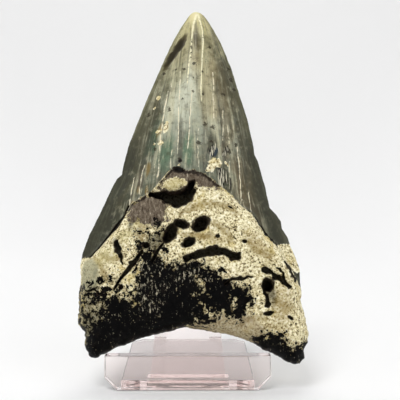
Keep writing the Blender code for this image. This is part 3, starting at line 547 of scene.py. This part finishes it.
# %% Holes and cracks of the back
BACK_PITS = [    # as PITS
    (-1.5, 24.0, 2.4, 1.4, 80, 2.4), (14.0, 15.0, 2.0, 1.0, 30, 2.0),
    (-17.5, 17.0, 1.7, 1.2, -40, 2.0), (24.5, 26.0, 1.5, 0.9, 60, 1.6),
    (-28.0, 27.5, 1.8, 0.8, 20, 1.6), (6.5, 31.0, 1.0, 0.8, 0, 1.4),
    (-8.0, 12.5, 1.3, 0.7, 10, 1.4), (31.0, 11.0, 2.6, 0.8, -50, 1.6),
]
FAN_POINT, BACK_FAN_POINT = 61.1, 60.0     # mm above the tip, where growth lines would meet
FAN_SLOPE = 2.7        # mm of height to 1 mm across, for a line at the crown's side
draw = np.random.default_rng(7)
back_cracks = []
for share in np.linspace(-0.82, 0.82, 17):     # each keeps about one share of the crown's width
    top = draw.uniform(62, 100)
    levels = np.linspace(top, top - draw.uniform(10, 34), 6)
    xs = share * (BACK_FAN_POINT + TIP_S - levels) / FAN_SLOPE + draw.uniform(-0.3, 0.3, 6)
    back_cracks.append([(x, level, 0.3) for x, level in zip(xs, levels)])
back_holes = [(in_pit(X + nibble, S - nibble, pit), pit[5]) for pit in BACK_PITS]
hole_back = np.maximum.reduce([near for near, _ in back_holes])
crack_back = closest(back_cracks, X, S)
print("back:", len(BACK_PITS), "holes,", len(back_cracks), "cracks")

# %% The back
back_root = smooth(edge_back + 4, edge_back - 6, S)
back_depth = along(CROWN_BACK, S) * (1 - abs(W_EVEN) ** 3) * tip * (1 - back_root)
back_depth += along(ROOT_BACK, S) * (1 - BACK_FALL * W ** 2) * rounded * back_root
back_crust = smooth(0.3, -0.6, enamel_back + wobble) * fade
bare_back = 9.0 * rough(X, S, 13.0, 81) - 0.9 + 0.14 * (13 - S)     # more of it lower down
neck_back = 2.0 - abs(enamel_back + 2.0)     # a band 4 mm high under the enamel
back_grain = rough(X, S, 5.2, 91) + 0.35 * rough(X, S, 1.5, 101, octaves=3)
back_depth += back_crust * BACK_LUMPS * back_grain
back_depth += back_crust * BACK_FINE_LUMPS * rough(X, S, 1.3, 141, octaves=2)
back_depth -= fade * np.maximum.reduce([depth * smooth(0, 0.5, near) for near, depth in back_holes])
growth_lines = rough(W * 50, S * 0.12, 1.0, 111, octaves=3)
back_depth += (1 - back_crust) * fade * BACK_GROWTH_LINES * growth_lines
back = zero_at_rim(-np.maximum(back_depth, 0))
print("back: 0 to", back.min().round(1), "mm")

# %% [markdown]
# ## One closed surface
#
# Each row becomes a ring: over the display face, round the edge, and back along the
# other side. The first row shrinks to the tip's one point. In the last row both
# faces share the arch's points, so the surface closes with no seam.


# %% Rings of points and the faces between them
def in_rings(face, reverse):
    """Puts two (row, column) arrays into the mesh's order: tip, rings, then the shared arch."""
    rings = np.concatenate([face[1:-1], reverse[1:-1, -2:0:-1]], axis=1)
    return np.concatenate([face[0, :1], rings.reshape(-1, *face.shape[2:]), face[-1]])


def ring_faces():
    """Corner numbers of the tip's triangles and of all the quads between rings."""
    half = COLUMNS - 1
    ring = 2 * half
    near = np.arange(ring)
    after = np.roll(near, -1)
    starts = 1 + ring * np.arange(ROWS - 2)
    rows = starts[:, None] + near
    last = starts[-1] + ring
    folded = last + np.concatenate([np.arange(COLUMNS), np.arange(half - 1, 0, -1)])
    rows = np.vstack([rows, folded])
    quads = np.stack([rows[:-1], rows[:-1, after], rows[1:, after], rows[1:]], 2).reshape(-1, 4)
    tips = np.stack([np.zeros(ring, int), rows[0], rows[0, after]], 1)
    return tips, quads[:, ::-1]


print("rings:", ROWS - 2, "of", 2 * (COLUMNS - 1), "points each")

# %% The tooth's place on the stand
LEAN = np.radians(12.0)
SEAT = np.array([0.0, 3.0, 12.47])            # the plan's x = s = n = 0 over the bar, in mm
BAR_CORNER = np.array([-31.15, 0.0, 0.0])     # the bar's lowest corner in the same frame
shift = np.array(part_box("stand_front_bar")[0]) / MM - BAR_CORNER


def placed(x, s, n):
    """Leans the plan back: s climbs along (0, sin, cos) and n along (0, -cos, sin)."""
    y = s * np.sin(LEAN) - n * np.cos(LEAN)
    z = s * np.cos(LEAN) + n * np.sin(LEAN)
    return np.stack([x, y, z], -1) + SEAT + shift


print("the bar's corner is at", (BAR_CORNER + shift).round(2).tolist(), "mm")

# %% [markdown]
# The outline itself is chipped: points near it are nudged by up to a few tenths of a
# millimetre, least at the tip. Then the points and corners go into the mesh as whole
# arrays, and the mesh rides on the stand's body in place of the plain solid.


# %% The tooth's mesh
def show(name, data):
    """A new object that brings a mesh, a lamp or a camera into the scene."""
    made = bpy.data.objects.new(name, data)
    bpy.context.scene.collection.objects.link(made)
    return made


tip_triangles, quads = ring_faces()
near_rim = smooth(2.5, 0.0, INSIDE) * smooth(0.0, 6.0, TIP_S - S)
nick = near_rim * (0.14 + 0.30 * root_share)
X_FINE = X + nick * rough(X, S, 1.6, 151, octaves=3)
S_FINE = S + nick * rough(X, S, 1.6, 161, octaves=3)
points = in_rings(placed(X_FINE, S_FINE, front), placed(X_FINE, S_FINE, back)) * MM
mesh = bpy.data.meshes.new("fossil_tooth")
mesh.from_pydata(points.tolist(), [], [*tip_triangles.tolist(), *quads.tolist()])
mesh.validate()
mesh.shade_smooth()
tooth = show("fossil_tooth", mesh)
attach(tooth, "root")
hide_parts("tooth")
print("tooth:", len(mesh.vertices), "points,", len(tip_triangles) + 2 * len(quads), "triangles")

# %% [markdown]
# What the shader must know rides on the points as named attributes, in millimetres
# or as a share from 0 to 1. Distances stay sharp when they are read between
# points, which painted colours would not.

# %% Specks and tints, in mm
SPOTS = [    # dark specks on the enamel: (x, s, radius)
    (-3.4, 101.5, 0.9), (3.6, 100.7, 0.7), (-0.2, 92.9, 0.8), (10.8, 92.5, 0.9), (2.1, 73.6, 1.1),
    (6.4, 74.3, 1.0), (4.3, 80.6, 1.3), (7.2, 79.7, 1.2), (12.8, 71.3, 1.2), (15.4, 74.0, 1.1),
    (-16.1, 85.5, 1.0), (0.0, 98.4, 0.6), (0.6, 103.9, 0.9), (5.9, 110.5, 0.8), (-6.3, 101.8, 0.7),
    (3.7, 92.0, 0.7), (-3.7, 90.0, 0.7), (-13.8, 72.2, 1.0), (13.1, 103.1, 1.0), (13.9, 98.8, 1.1),
    (15.4, 95.2, 1.0), (-10.6, 101.2, 0.9), (-0.6, 113.0, 0.5), (-0.7, 110.6, 0.5),
    (-0.9, 107.9, 0.45), (-4.9, 67.9, 0.8), (11.6, 60.2, 0.9), (-0.4, 112.0, 0.5),
    (-0.7, 109.4, 0.5), (-1.0, 106.0, 0.5), (-1.3, 104.0, 0.45), (-8.6, 86.6, 1.0),
]
TINTS = {    # soft patches: (x, s, half-length, half-width, turn)
    "teal": [(-9.6, 69.0, 11.0, 3.4, 84), (-2.0, 72.0, 8.0, 3.0, 90), (-14.0, 76.0, 9.0, 3.0, 70)],
    "dark_wing": [(-21.0, 73.0, 28.0, 7.0, 68), (19.5, 80.0, 40.0, 6.5, 109),
                  (-31.0, 45.0, 20.0, 8.0, 60), (27.0, 50.0, 26.0, 8.0, 115),
                  (11.0, 61.0, 7.0, 2.6, 105), (7.0, 74.0, 6.0, 2.2, 100)],
    "pale_middle": [(-2.5, 90.0, 16.0, 5.6, 82), (-7.5, 87.0, 10.0, 3.2, 77)],
    "beige": [(5.0, 92.0, 18.0, 4.2, 93), (7.0, 102.0, 9.0, 2.6, 98), (1.0, 105.0, 7.0, 2.6, 90)],
    "ochre": [(30.0, 14.0, 13.0, 5.0, 80), (23.5, 36.0, 8.0, 3.0, 130),
              (5.0, 39.5, 7.0, 1.8, 170), (26.5, 9.0, 6.0, 3.0, 50), (-6.4, 58.6, 5.0, 2.6, 8)],
    "sulphur": [(-31.5, 33.5, 8.0, 4.5, 35), (-24.0, 41.0, 5.0, 3.0, 30), (-6.4, 58.6, 5.0, 3.0, 8),
                (-20.0, 45.5, 4.0, 2.5, 10)],
    "brown_side": [(11.0, 88.0, 24.0, 6.0, 100), (18.0, 62.0, 22.0, 6.0, 105)],
    "rust": [(-16.0, 64.4, 4.0, 1.3, 80), (-16.2, 56.5, 3.5, 1.2, 90),
             (-21.3, 52.4, 2.5, 1.6, 70), (-19.5, 57.0, 3.0, 1.2, 80),
             (-12.0, 78.5, 4.5, 1.6, 75)],
    "blue": [(7.3, 70.4, 1.9, 1.4, 60)],
    "lens": [(1.6, 112.5, 9.0, 1.6, 92), (1.5, 114.4, 1.7, 1.7, 0)],
    "stripes": [(9.8, 62.4, 6.5, 2.1, 98), (6.9, 71.0, 3.4, 1.3, 70), (11.4, 70.6, 3.0, 1.0, 60)],
    "striae": [(9.7, 61.5, 6.0, 2.2, 98), (-13.5, 24.5, 10.5, 7.0, 70), (-4.0, 27.0, 9.0, 4.0, 0)],
    "tip": [(1.1, 126.0, 9.5, 3.2, 90)],
    "stain": [(-26.6, 38.0, 3.2, 1.5, 105), (-21.5, 44.5, 3.0, 1.4, 60),
              (-34.0, 27.5, 3.0, 1.0, 70), (26.0, 21.5, 5.0, 2.4, 100),
              (-13.0, 38.5, 5.5, 3.0, 40), (-36.0, 10.5, 14.0, 5.5, 85)],
    "olive": [(-17.5, 84.0, 24.0, 6.0, 71), (-27.6, 52.0, 14.0, 1.7, 58),
              (-22.6, 66.0, 8.0, 2.2, 68), (-13.4, 89.5, 7.5, 1.5, 73),
              (12.0, 92.0, 16.0, 2.2, 104)],
    "umber": [(16.8, 60.0, 13.0, 2.6, 103), (20.2, 55.0, 12.0, 2.0, 108),
              (24.0, 47.5, 8.0, 1.8, 118), (11.6, 71.0, 6.0, 1.8, 95),
              (-19.5, 60.0, 7.0, 2.6, 75)],
}
print("marks of colour:", len(SPOTS), "specks,", sum(len(tint) for tint in TINTS.values()), "tints")

# %% Attributes for the finish
OTHER_X, OTHER_FAN = 200, 90     # the back reads the noises elsewhere, so it has streaks of its own
BACK_TINTS, BACK_WEAKER = ("dark_wing", "pale_middle"), 0.35     # tints that the back has too
no_marks = np.full_like(X, -9.0)
side = abs(W_EVEN)
fan = 100 * X / (FAN_POINT + TIP_S - S) * (1 - side ** 3) + 24 * W_EVEN * side ** 3
# where the crown's side edges get painted shade, below 86 mm up, as the dome turns away from the
# light
wing_edge_shade = smooth(0.70, 0.96, side) * smooth(86, 68, S)
spots = [in_pit(X + wobble, S, (x, s, radius, radius, 0, 0)) for x, s, radius in SPOTS]
FINISH = {    # name: (on the display face, on the back)
    "x_mm": (X, X + OTHER_X), "up_mm": (S, S), "fan": (fan, fan + OTHER_FAN),
    "side": (side, side), "wing_edge_shade": (wing_edge_shade, wing_edge_shade),
    "enamel_mm": (enamel_front, enamel_back), "bare_mm": (bare_front, bare_back),
    "neck_mm": (neck_front, neck_back), "hole": (hole_front, hole_back),
    "crack": (crack_front, crack_back), "tan_mm": (tan_front, no_marks),
    "pale_mm": (pale_front, no_marks), "ridge": (ridge_front, no_marks),
    "crumb": (crumb_front, no_marks), "scar": (scar_front, no_marks),
    "furrow": (furrow_front, no_marks), "spot": (np.maximum.reduce(spots), no_marks),
}
blotch = 0.5 * rough(X, 0.6 * S, 2.8, 171, octaves=3)      # stains have no clean outline
for name, ellipses in TINTS.items():
    near = np.maximum.reduce([in_pit(X, S, (*ellipse, 0)) for ellipse in ellipses]) + blotch
    FINISH[name] = (near, near - BACK_WEAKER if name in BACK_TINTS else no_marks)
for name, (face, reverse) in FINISH.items():
    layer = mesh.attributes.new(name, "FLOAT", "POINT")
    layer.data.foreach_set("value", in_rings(face, reverse).astype(np.float32))
print("attributes:", ", ".join(FINISH))

# %% [markdown]
# ## Finishes
#
# A finish is a tree of nodes. One small function adds any node with its settings,
# and fills its inputs in order with fixed values, hex colours or links. Another lays
# tints over a colour, each where something grows from a low value to a high one.


# %% Helpers for finishes
def new_finish(name):
    """A new material, its tree of nodes and its shader."""
    made = bpy.data.materials.new(name)
    made.use_nodes = True
    return made, made.node_tree, made.node_tree.nodes["Principled BSDF"]


def add(tree, kind, *values, out=0, stops=(), **settings):
    """Adds one node and gives back one of its outputs, counted among those in use."""
    node = tree.nodes.new("ShaderNode" + kind)
    for name, value in settings.items():
        setattr(node, name, value)
    for socket, value in zip([socket for socket in node.inputs if socket.enabled], values):
        if isinstance(value, bpy.types.NodeSocket):
            tree.links.new(value, socket)
        elif value is not None:
            socket.default_value = linear(value) if isinstance(value, str) else value
    for number, (place, code) in enumerate(stops):
        elements = node.color_ramp.elements
        element = elements[number] if number < len(elements) else elements.new(place)
        element.position, element.color = place, linear(code)
    return [socket for socket in node.outputs if socket.enabled][out]


PRODUCT, SUM = dict(operation="MULTIPLY"), dict(operation="ADD")     # for Math
LESS, LARGER = dict(operation="SUBTRACT"), dict(operation="MAXIMUM")
SCALED_SUM = dict(operation="MULTIPLY_ADD")       # the first times the second, plus the third
CURVE = dict(interpolation_type="SMOOTHSTEP")     # for Map Range: an S curve between two values
COLOUR = dict(data_type="RGBA")                   # for Mix


def layered(tree, colour, layers):
    """Lays tints over a colour: (what steers it, low, high, strength, tint) for each."""
    for what, low, high, most, tint in layers:
        share = add(tree, "MapRange", what, low, high, 0.0, most, **CURVE)
        colour = add(tree, "Mix", share, colour, tint, **COLOUR)
    return colour


# %% [markdown]
# ### Fossil enamel and bone
#
# Enamel keeps a soft polish for millions of years, and minerals stain it grey, olive
# and green. The crust is rough and dull, the colour of dry sand, with dark pores.
# Where it has gone, the bone is nearly black and has a dull shine.
#
# The noises below have lumps of a stated size in mm. Those in `SOLID` go through the
# body on Object coordinates. Those in `STREAKED` are drawn out up the tooth, on
# coordinates that fan out from the tip as enamel's growth lines do.

# %% Noises
finish, tree, shader = new_finish("fossil_enamel_crust_and_bone")
tell = {name: add(tree, "Attribute", out=2, attribute_name=name) for name in FINISH}
solid = add(tree, "Mapping", add(tree, "TexCoord", out=3), None, None, (1 / MM, 1 / MM, 1 / MM))
slow = add(tree, "Math", tell["up_mm"], 0.07, **PRODUCT)     # long streaks
fanned = add(tree, "CombineXYZ", tell["fan"], slow)
slow = add(tree, "Math", tell["up_mm"], 0.42, **PRODUCT)     # short strokes
fibres = add(tree, "CombineXYZ", tell["x_mm"], slow)
SOLID = {     # size in mm, octaves, and how rough
    "coarse": (6.0, 4, 0.6), "medium": (2.2, 4, 0.6), "grain": (0.85, 2, 0.6),
    "dust": (0.5, 2, 0.6),
}
STREAKED = {     # the same, after the coordinates
    "broad": (fanned, 3.6, 3, 0.6), "streak": (fanned, 1.3, 4, 0.65),
    "hair": (fanned, 0.55, 2, 0.7), "fibre": (fibres, 0.85, 4, 0.8),
}
noise = {}
for name, (size, detail, keep) in SOLID.items():
    noise[name] = add(tree, "TexNoise", solid, 1 / size, detail, keep)
for name, (where, size, detail, keep) in STREAKED.items():
    noise[name] = add(tree, "TexNoise", where, 1 / size, detail, keep)
print("noises:", ", ".join(noise))

# %% [markdown]
# Enamel: a slow change of colour from the cream tip to the grey-green middle and
# the dark wings, and over it layers of tint, which stand for minerals that soaked in
# here and there while the tooth lay buried, and for streaks of growth. One layer
# lightens the crown's middle. Two more darken the crown towards its side edges:
# that is painted shade, where the dome turns away from the light.

# %% Enamel colour
height_share = add(tree, "Math", tell["up_mm"], 1 / TIP_S, **PRODUCT)
enamel = add(tree, "ValToRGB", height_share, stops=[
    (0.28, "#46483C"), (0.42, "#4F5242"), (0.53, "#717666"), (0.66, "#9DA18E"),
    (0.78, "#9A987C"), (0.90, "#A39C76"), (0.985, "#CCC28E")])
enamel = layered(tree, enamel, [
    (tell["dark_wing"], -0.25, 0.5, 0.85, "#414233"),
    (tell["olive"], -0.1, 0.7, 0.65, "#5C563A"),
    (tell["umber"], -0.1, 0.7, 0.65, "#4E4034"),
    (tell["pale_middle"], 0.0, 0.7, 0.8, "#C6C8B2"),
    (tell["brown_side"], -0.1, 0.7, 0.60, "#72654A"),
    (tell["teal"], -0.05, 0.7, 0.78, "#4E6A52"),
    (tell["lens"], -0.1, 0.5, 0.9, "#5B543C"),
    (noise["coarse"], 0.55, 0.72, 0.30, "#6B6044"),
    (noise["broad"], 0.53, 0.66, 0.65, "#BDBA9C"),
    (noise["broad"], 0.47, 0.34, 0.70, "#44443A"),
    (noise["streak"], 0.55, 0.68, 0.52, "#C6C4A6"),
    (noise["streak"], 0.45, 0.32, 0.65, "#45443A"),
    (noise["hair"], 0.58, 0.70, 0.36, "#D8D4B6"),
    (tell["beige"], -0.1, 0.8, 0.42, "#AFA27A"),
    (noise["hair"], 0.42, 0.30, 0.40, "#36362E"),
    (tell["dark_wing"], -0.1, 0.7, 0.55, "#3A3B2E"),
    (noise["coarse"], 0.46, 0.30, 0.45, "#454029"),
    (noise["medium"], 0.50, 0.76, 0.34, "#BDB898"),
    (noise["medium"], 0.50, 0.28, 0.50, "#403C2B"),
    (noise["grain"], 0.40, 0.28, 0.40, "#35332A"),
    # painted shade: these two layers darken the crown towards its side edges
    (tell["side"], 0.86, 0.97, 0.50, "#5B5942"),
    (tell["wing_edge_shade"], 0.0, 1.0, 0.68, "#2A2B22"),
    (tell["rust"], 0.2, 0.8, 0.60, "#7A5F1E"),
    (tell["blue"], 0.0, 0.4, 0.9, "#23303A"),
    (tell["tip"], 0.1, 0.8, 0.9, "#DDD3A4"),
    (tell["scar"], -0.05, 0.2, 0.9, "#4D4429"),
    (tell["scar"], 0.05, 0.5, 0.85, "#1C170C"),
])

# %% [markdown]
# The cracks in the enamel are filled with cream silt, but not all the way: a noise
# breaks them up. The raised ridges near the tip are cream too, with dark pinholes.

# %% Colour in the cracks, on the ridges and of the specks
broken = add(tree, "MapRange", noise["medium"], 0.38, 0.56, 0.1, 0.95, **CURVE)
filled = add(tree, "MapRange", tell["crack"], 0.1, 0.6, **CURVE)
share = add(tree, "Math", broken, filled, **PRODUCT)
silt = add(tree, "Mix", noise["grain"], "#C4B584", "#F8F4E2", **COLOUR)
enamel = add(tree, "Mix", share, enamel, silt, **COLOUR)
worn = add(tree, "MapRange", noise["grain"], 0.34, 0.50, 0.25, 0.95, **CURVE)
share = add(tree, "MapRange", tell["ridge"], -0.1, 0.8, **CURVE)
share = add(tree, "Math", worn, share, **PRODUCT)
enamel = add(tree, "Mix", share, enamel, "#EBE5C0", **COLOUR)
for what, noise_name, shake, low, high, most, tint in [
    ("spot", "grain", 0.45, 0.1, 0.5, 0.85, "#2B2519"),
    ("stripes", "streak", 1.1, 0.25, 0.6, 0.92, "#15130F"),
    ("stripes", "hair", 1.6, 0.9, 1.2, 0.9, "#C9C3AC"),
]:
    shaken = add(tree, "MapRange", noise[noise_name], 0.3, 0.7, -shake, shake)
    shaken = add(tree, "Math", tell[what], shaken, **SUM)
    enamel = layered(tree, enamel, [(shaken, low, high, most, tint)])
print("enamel:", len(tree.nodes), "nodes so far")

# %% [markdown]
# Crust: sand-sized grains of cream and brown. Real grains here are 0.2 to 0.5 mm,
# too fine to show at a distance, so they are drawn at 0.85 mm.

# %% Crust colour
speckle = noise["grain"]
for name, strength in [("dust", 0.5), ("medium", 0.35)]:
    part = add(tree, "Math", noise[name], strength, **PRODUCT)
    speckle = add(tree, "Math", speckle, part, **SUM)
crust_colour = add(tree, "ValToRGB", add(tree, "MapRange", speckle, 0.70, 1.15), stops=[
    (0.05, "#2A2216"), (0.16, "#6F6143"), (0.31, "#B3A67E"), (0.47, "#D3C79E"),
    (0.67, "#E9E0BA"), (0.88, "#F9F3DA")])
crust_colour = layered(tree, crust_colour, [
    (noise["coarse"], 0.54, 0.68, 0.45, "#C9B46A"),
    # painted shade: the furrows' creases are darkened brown
    (tell["furrow"], -0.7, 0.8, 0.60, "#8F7C4A"),
    (tell["ochre"], -0.2, 0.8, 0.45, "#95804F"),
    (tell["sulphur"], -0.2, 0.8, 0.42, "#BDB47E"),
    (tell["stain"], -0.2, 0.7, 0.72, "#37352A"),
    (tell["pale_mm"], -0.5, 1.0, 0.75, "#97957A"),
    (tell["tan_mm"], -1.0, 1.0, 0.60, "#86755A"),
])
print("crust:", len(tree.nodes), "nodes so far")

# %% [markdown]
# Bare bone: black with short pale strokes that run up the tooth, as bone fibres do,
# thick in some places and absent in others. The neck band is smooth and
# brown-grey, streaked the same way.

# %% Bare bone and neck colours
crowd = add(tree, "MapRange", tell["striae"], -0.2, 0.4, 0.0, 0.06, **CURVE)
crowd = add(tree, "Math", noise["coarse"], 0.16, crowd, **SCALED_SUM)
strokes = add(tree, "Math", noise["fibre"], crowd, **SUM)
specks = add(tree, "Math", noise["coarse"], 0.35, noise["grain"], **SCALED_SUM)
bare_colour = layered(tree, "#020202", [
    (noise["medium"], 0.52, 0.74, 0.80, "#110D09"),
    (specks, 0.855, 0.92, 0.80, "#958B6C"),
    (strokes, 0.70, 0.77, 0.85, "#B9B199"),
])
neck_colour = add(tree, "ValToRGB", noise["fibre"], stops=[
    (0.30, "#2A2119"), (0.46, "#574C3F"), (0.60, "#7B7060"), (0.72, "#C9C0AC")])
print("bone:", len(tree.nodes), "nodes so far")

# %% [markdown]
# The finishes meet at borders that are a distance plus noise, cut by a narrow ramp.
# That gives crisp and ragged borders, as broken crust has.

# %% Which finish shows where
ragged = add(tree, "MapRange", noise["medium"], 0.25, 0.75, -2.6, 2.6)
ragged_fine = add(tree, "MapRange", noise["grain"], 0.25, 0.75, -1.2, 1.2)
ragged_both = add(tree, "Math", ragged, ragged_fine, **SUM)
borders = {}
for name, what, shake, low, high in [
    ("below_enamel", "enamel_mm", 0.25, 0.12, -0.12),
    ("bare", "bare_mm", 1.3, -0.3, 0.3),
    ("neck", "neck_mm", 0.9, -0.3, 0.3),
    ("crumb", "crumb", 0.13, 0.0, 0.1),
    ("hole", "hole", 0.09, -0.08, 0.12),
]:
    shaken = add(tree, "Math", ragged_both, shake, tell[what], **SCALED_SUM)
    borders[name] = add(tree, "MapRange", shaken, low, high, **CURVE)
for name in ("neck", "bare"):
    borders[name] = add(tree, "Math", borders[name], borders["below_enamel"], **PRODUCT)
# The holes are painted dark, darkest in their middles: painted shade inside the recesses.
deep = add(tree, "MapRange", tell["hole"], 0.1, 0.45)
painted_hole_shade = add(tree, "Mix", deep, "#2B211A", "#040303", **COLOUR)
colour = enamel
for name, tint, most in [
    ("below_enamel", crust_colour, 1), ("neck", neck_colour, 1), ("bare", bare_colour, 1),
    ("crumb", crust_colour, 1), ("hole", painted_hole_shade, 0.97),
]:
    share = add(tree, "Math", borders[name], most, **PRODUCT)
    colour = add(tree, "Mix", share, colour, tint, **COLOUR)
print("finishes laid over the enamel:", ", ".join(borders))

# %% [markdown]
# Where the enamel ends over the smooth neck, its broken edge throws a thin shadow
# and holds dirt, so a dark line follows it.

# %% The enamel's dark lip
lip = add(tree, "Math", tell["enamel_mm"], 0.55, **SUM)
lip = add(tree, "Math", ragged_both, 0.2, lip, **SCALED_SUM)
lip = add(tree, "Math", lip, operation="ABSOLUTE")
lip = add(tree, "MapRange", lip, 0.75, 0.25, 0.0, 0.85, **CURVE)
lip = add(tree, "Math", lip, borders["neck"], **PRODUCT)
colour = add(tree, "Mix", lip, colour, "#1A1512", **COLOUR)
tree.links.new(colour, shader.inputs["Base Color"])

# %% [markdown]
# Crust is dull, and everything else has a soft shine. Only the enamel has a polish on
# top of it. The bump holds what is too fine for the mesh: sand grains, hair-fine
# growth lines and bone fibres, 0.5 mm high at most.

# %% Gloss and fine relief
crusty = add(tree, "Math", borders["below_enamel"], borders["bare"], **LESS)
crusty = add(tree, "Math", crusty, borders["neck"], use_clamp=True, **LESS)
crusty = add(tree, "Math", crusty, borders["crumb"], **LARGER)
roughness = add(tree, "MapRange", crusty, 0.0, 1.0, 0.34, 0.9)
roughness = add(tree, "Math", noise["medium"], 0.15, roughness, **SCALED_SUM)
tree.links.new(roughness, shader.inputs["Roughness"])
shader.inputs["Specular IOR Level"].default_value = 0.05
polish = add(tree, "MapRange", borders["below_enamel"], 0.0, 1.0, 0.28, 0.0)
tree.links.new(polish, shader.inputs["Coat Weight"])
shader.inputs["Coat Roughness"].default_value = 0.22
shader.inputs["Coat IOR"].default_value = 1.5
rise = add(tree, "Math", crusty, speckle, **PRODUCT)
rise = add(tree, "Math", noise["hair"], 0.12, rise, **SCALED_SUM)
fibre_rise = add(tree, "Math", borders["bare"], noise["fibre"], **PRODUCT)
rise = add(tree, "Math", fibre_rise, 0.7, rise, **SCALED_SUM)
bump = add(tree, "Bump", 0.7, 0.5 * MM, None, rise)
tree.links.new(bump, shader.inputs["Normal"])
mesh.materials.append(finish)
print("tooth finish:", len(tree.nodes), "nodes")

# %% [markdown]
# ### Clear acrylic
#
# The stand is cut from cast acrylic sheet with polished edges. Light goes through
# it, bends by its refractive index of 1.49, and picks up a faint pink where the
# path is long, which is what the volume's absorption does. Handling leaves a
# faint haze, so the roughness isn't zero everywhere.
#
# Light is trapped in a polished sheet and turns many times before it leaves. A
# renderer that gives up too soon paints such edges black, so it may go on for longer.

# %% Cast acrylic, polished
STAND = ("stand_front_bar", "stand_base_plate", "stand_back_rest")
HAZE_SIZE = 9 * MM     # of a smear left by a finger
finish, tree, shader = new_finish("cast_acrylic_polished")
shader.inputs["Base Color"].default_value = linear("#FDF6F5")
shader.inputs["Transmission Weight"].default_value = 1.0
shader.inputs["IOR"].default_value = 1.49
haze = add(tree, "TexNoise", add(tree, "TexCoord", out=3), 1 / HAZE_SIZE, 3.0)
haze = add(tree, "MapRange", haze, 0.45, 0.75, 0.01, 0.06, **CURVE)
tree.links.new(haze, shader.inputs["Roughness"])
volume = add(tree, "VolumeAbsorption", "#F8D8D2", 4.0)
tree.links.new(volume, tree.nodes["Material Output"].inputs["Volume"])
for name in STAND:
    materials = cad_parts[name].data.materials
    materials.clear()
    materials.append(finish)
paths = bpy.context.scene.cycles
paths.max_bounces, paths.glossy_bounces, paths.transmission_bounces = 32, 16, 32
print("stand finish on", len(STAND), "pieces")

# %% [markdown]
# ## The studio
#
# The stand rests in a shallow bowl of pale paper, which has no edge or horizon from any
# side. It is a profile, flat and then a quarter of an ellipse and a wall, turned
# all the way round.

# %% Paper bowl
FLAT_RADIUS, WALL_RADIUS, BEND_HEIGHT, WALL_TOP = 0.35, 0.80, 0.30, 0.75     # metres
MIDDLE_RADIUS = 0.15     # of the one flat face in the middle
AIR_FILM = 0.3 * MM      # acrylic rests on the paper's highest fibres, with air between
SIDES = 96
bend = np.linspace(0, np.pi / 2, 24)
out = FLAT_RADIUS + (WALL_RADIUS - FLAT_RADIUS) * np.sin(bend)
up = BEND_HEIGHT * (1 - np.cos(bend))
profile_r = np.concatenate([[MIDDLE_RADIUS], out, [WALL_RADIUS]])[:, None]
profile_z = np.concatenate([[0.0], up, [WALL_TOP]])[:, None] - AIR_FILM
turn = np.linspace(0, 2 * np.pi, SIDES + 1)[:-1]
rings = np.broadcast_arrays(profile_r * np.cos(turn), profile_r * np.sin(turn), profile_z)
rings = np.stack(rings, -1).reshape(-1, 3)
starts = np.arange(len(profile_r) - 1)[:, None] * SIDES
here, beside = starts + np.arange(SIDES), starts + np.roll(np.arange(SIDES), -1)
walls = np.stack([here + SIDES, beside + SIDES, beside, here], -1).reshape(-1, 4)
paper_mesh = bpy.data.meshes.new("paper_bowl")
paper_mesh.from_pydata(rings.tolist(), [], [*walls.tolist(), list(range(SIDES))])
paper_mesh.shade_smooth()
paper = show("paper_bowl", paper_mesh)
finish, tree, shader = new_finish("matt_paper")
shader.inputs["Base Color"].default_value = linear("#EEEEEE")
shader.inputs["Roughness"].default_value = 1.0
shader.inputs["Specular IOR Level"].default_value = 0.0
paper_mesh.materials.append(finish)
print("paper bowl:", len(paper_mesh.polygons), "faces")

# %% [markdown]
# The light is soft. A lamp high in front on the left models the relief, and a weaker
# one in front fills from the right. A large one overhead and two low ones behind
# light the paper that shows through the stand. The air itself gives little light, so
# that black bone stays black.


# %% Lamps and sky
def aim(made, place, target):
    """Puts a lamp or camera at a place and turns its -Z axis, which it looks along,
    to the target."""
    made.location = place
    made.rotation_euler = (Vector(target) - made.location).to_track_quat("-Z", "Y").to_euler()


LAMPS = [    # (name, place, target, side in metres, watts)
    ("key_lamp", (-0.22, -0.45, 0.85), (0, 0, 0.06), 0.34, 3.75),
    ("fill_lamp", (0.45, -0.50, 0.42), (0, 0, 0.06), 0.45, 0.6),
    ("top_lamp", (0.0, 0.18, 1.0), (0, 0.06, 0.0), 0.60, 3.1),
    ("left_low_lamp", (-0.48, 0.34, 0.34), (0, 0.04, 0.0), 0.40, 0.5),
    ("right_low_lamp", (0.48, 0.34, 0.34), (0, 0.04, 0.0), 0.40, 0.5),
]
AIR_LIGHT = 0.12
for name, place, target, size, power in LAMPS:
    light = bpy.data.lights.new(name, "AREA")
    light.shape, light.size, light.energy = "SQUARE", size, power
    lamp = show(name, light)
    lamp.visible_camera = False
    aim(lamp, place, target)
world = bpy.data.worlds.new("studio_air")
bpy.context.scene.world = world
world.use_nodes = True
air = world.node_tree.nodes["Background"]
air.inputs["Color"].default_value = linear("#FFFFFF")
air.inputs["Strength"].default_value = AIR_LIGHT
print("lamps:", len(LAMPS))

# %% [markdown]
# The camera stands a little above the tooth's middle and looks slightly down, so the
# top of the front bar just shows.

# %% Camera
CAMERA_AT, LOOK_AT = (0.0, -300.0, 91.0), (2.4, 0.0, 67.0)     # mm, in the plan's frame
camera_data = bpy.data.cameras.new("camera")
camera_data.sensor_width, camera_data.lens = 36.0, 78.48
camera = show("camera", camera_data)
aim(camera, (np.array(CAMERA_AT) + shift) * MM, (np.array(LOOK_AT) + shift) * MM)
bpy.context.scene.camera = camera
bpy.context.scene.view_settings.view_transform = "Standard"
print("camera at", [round(v, 3) for v in camera.location], "m")

# %% Update the scene
bpy.context.view_layer.update()
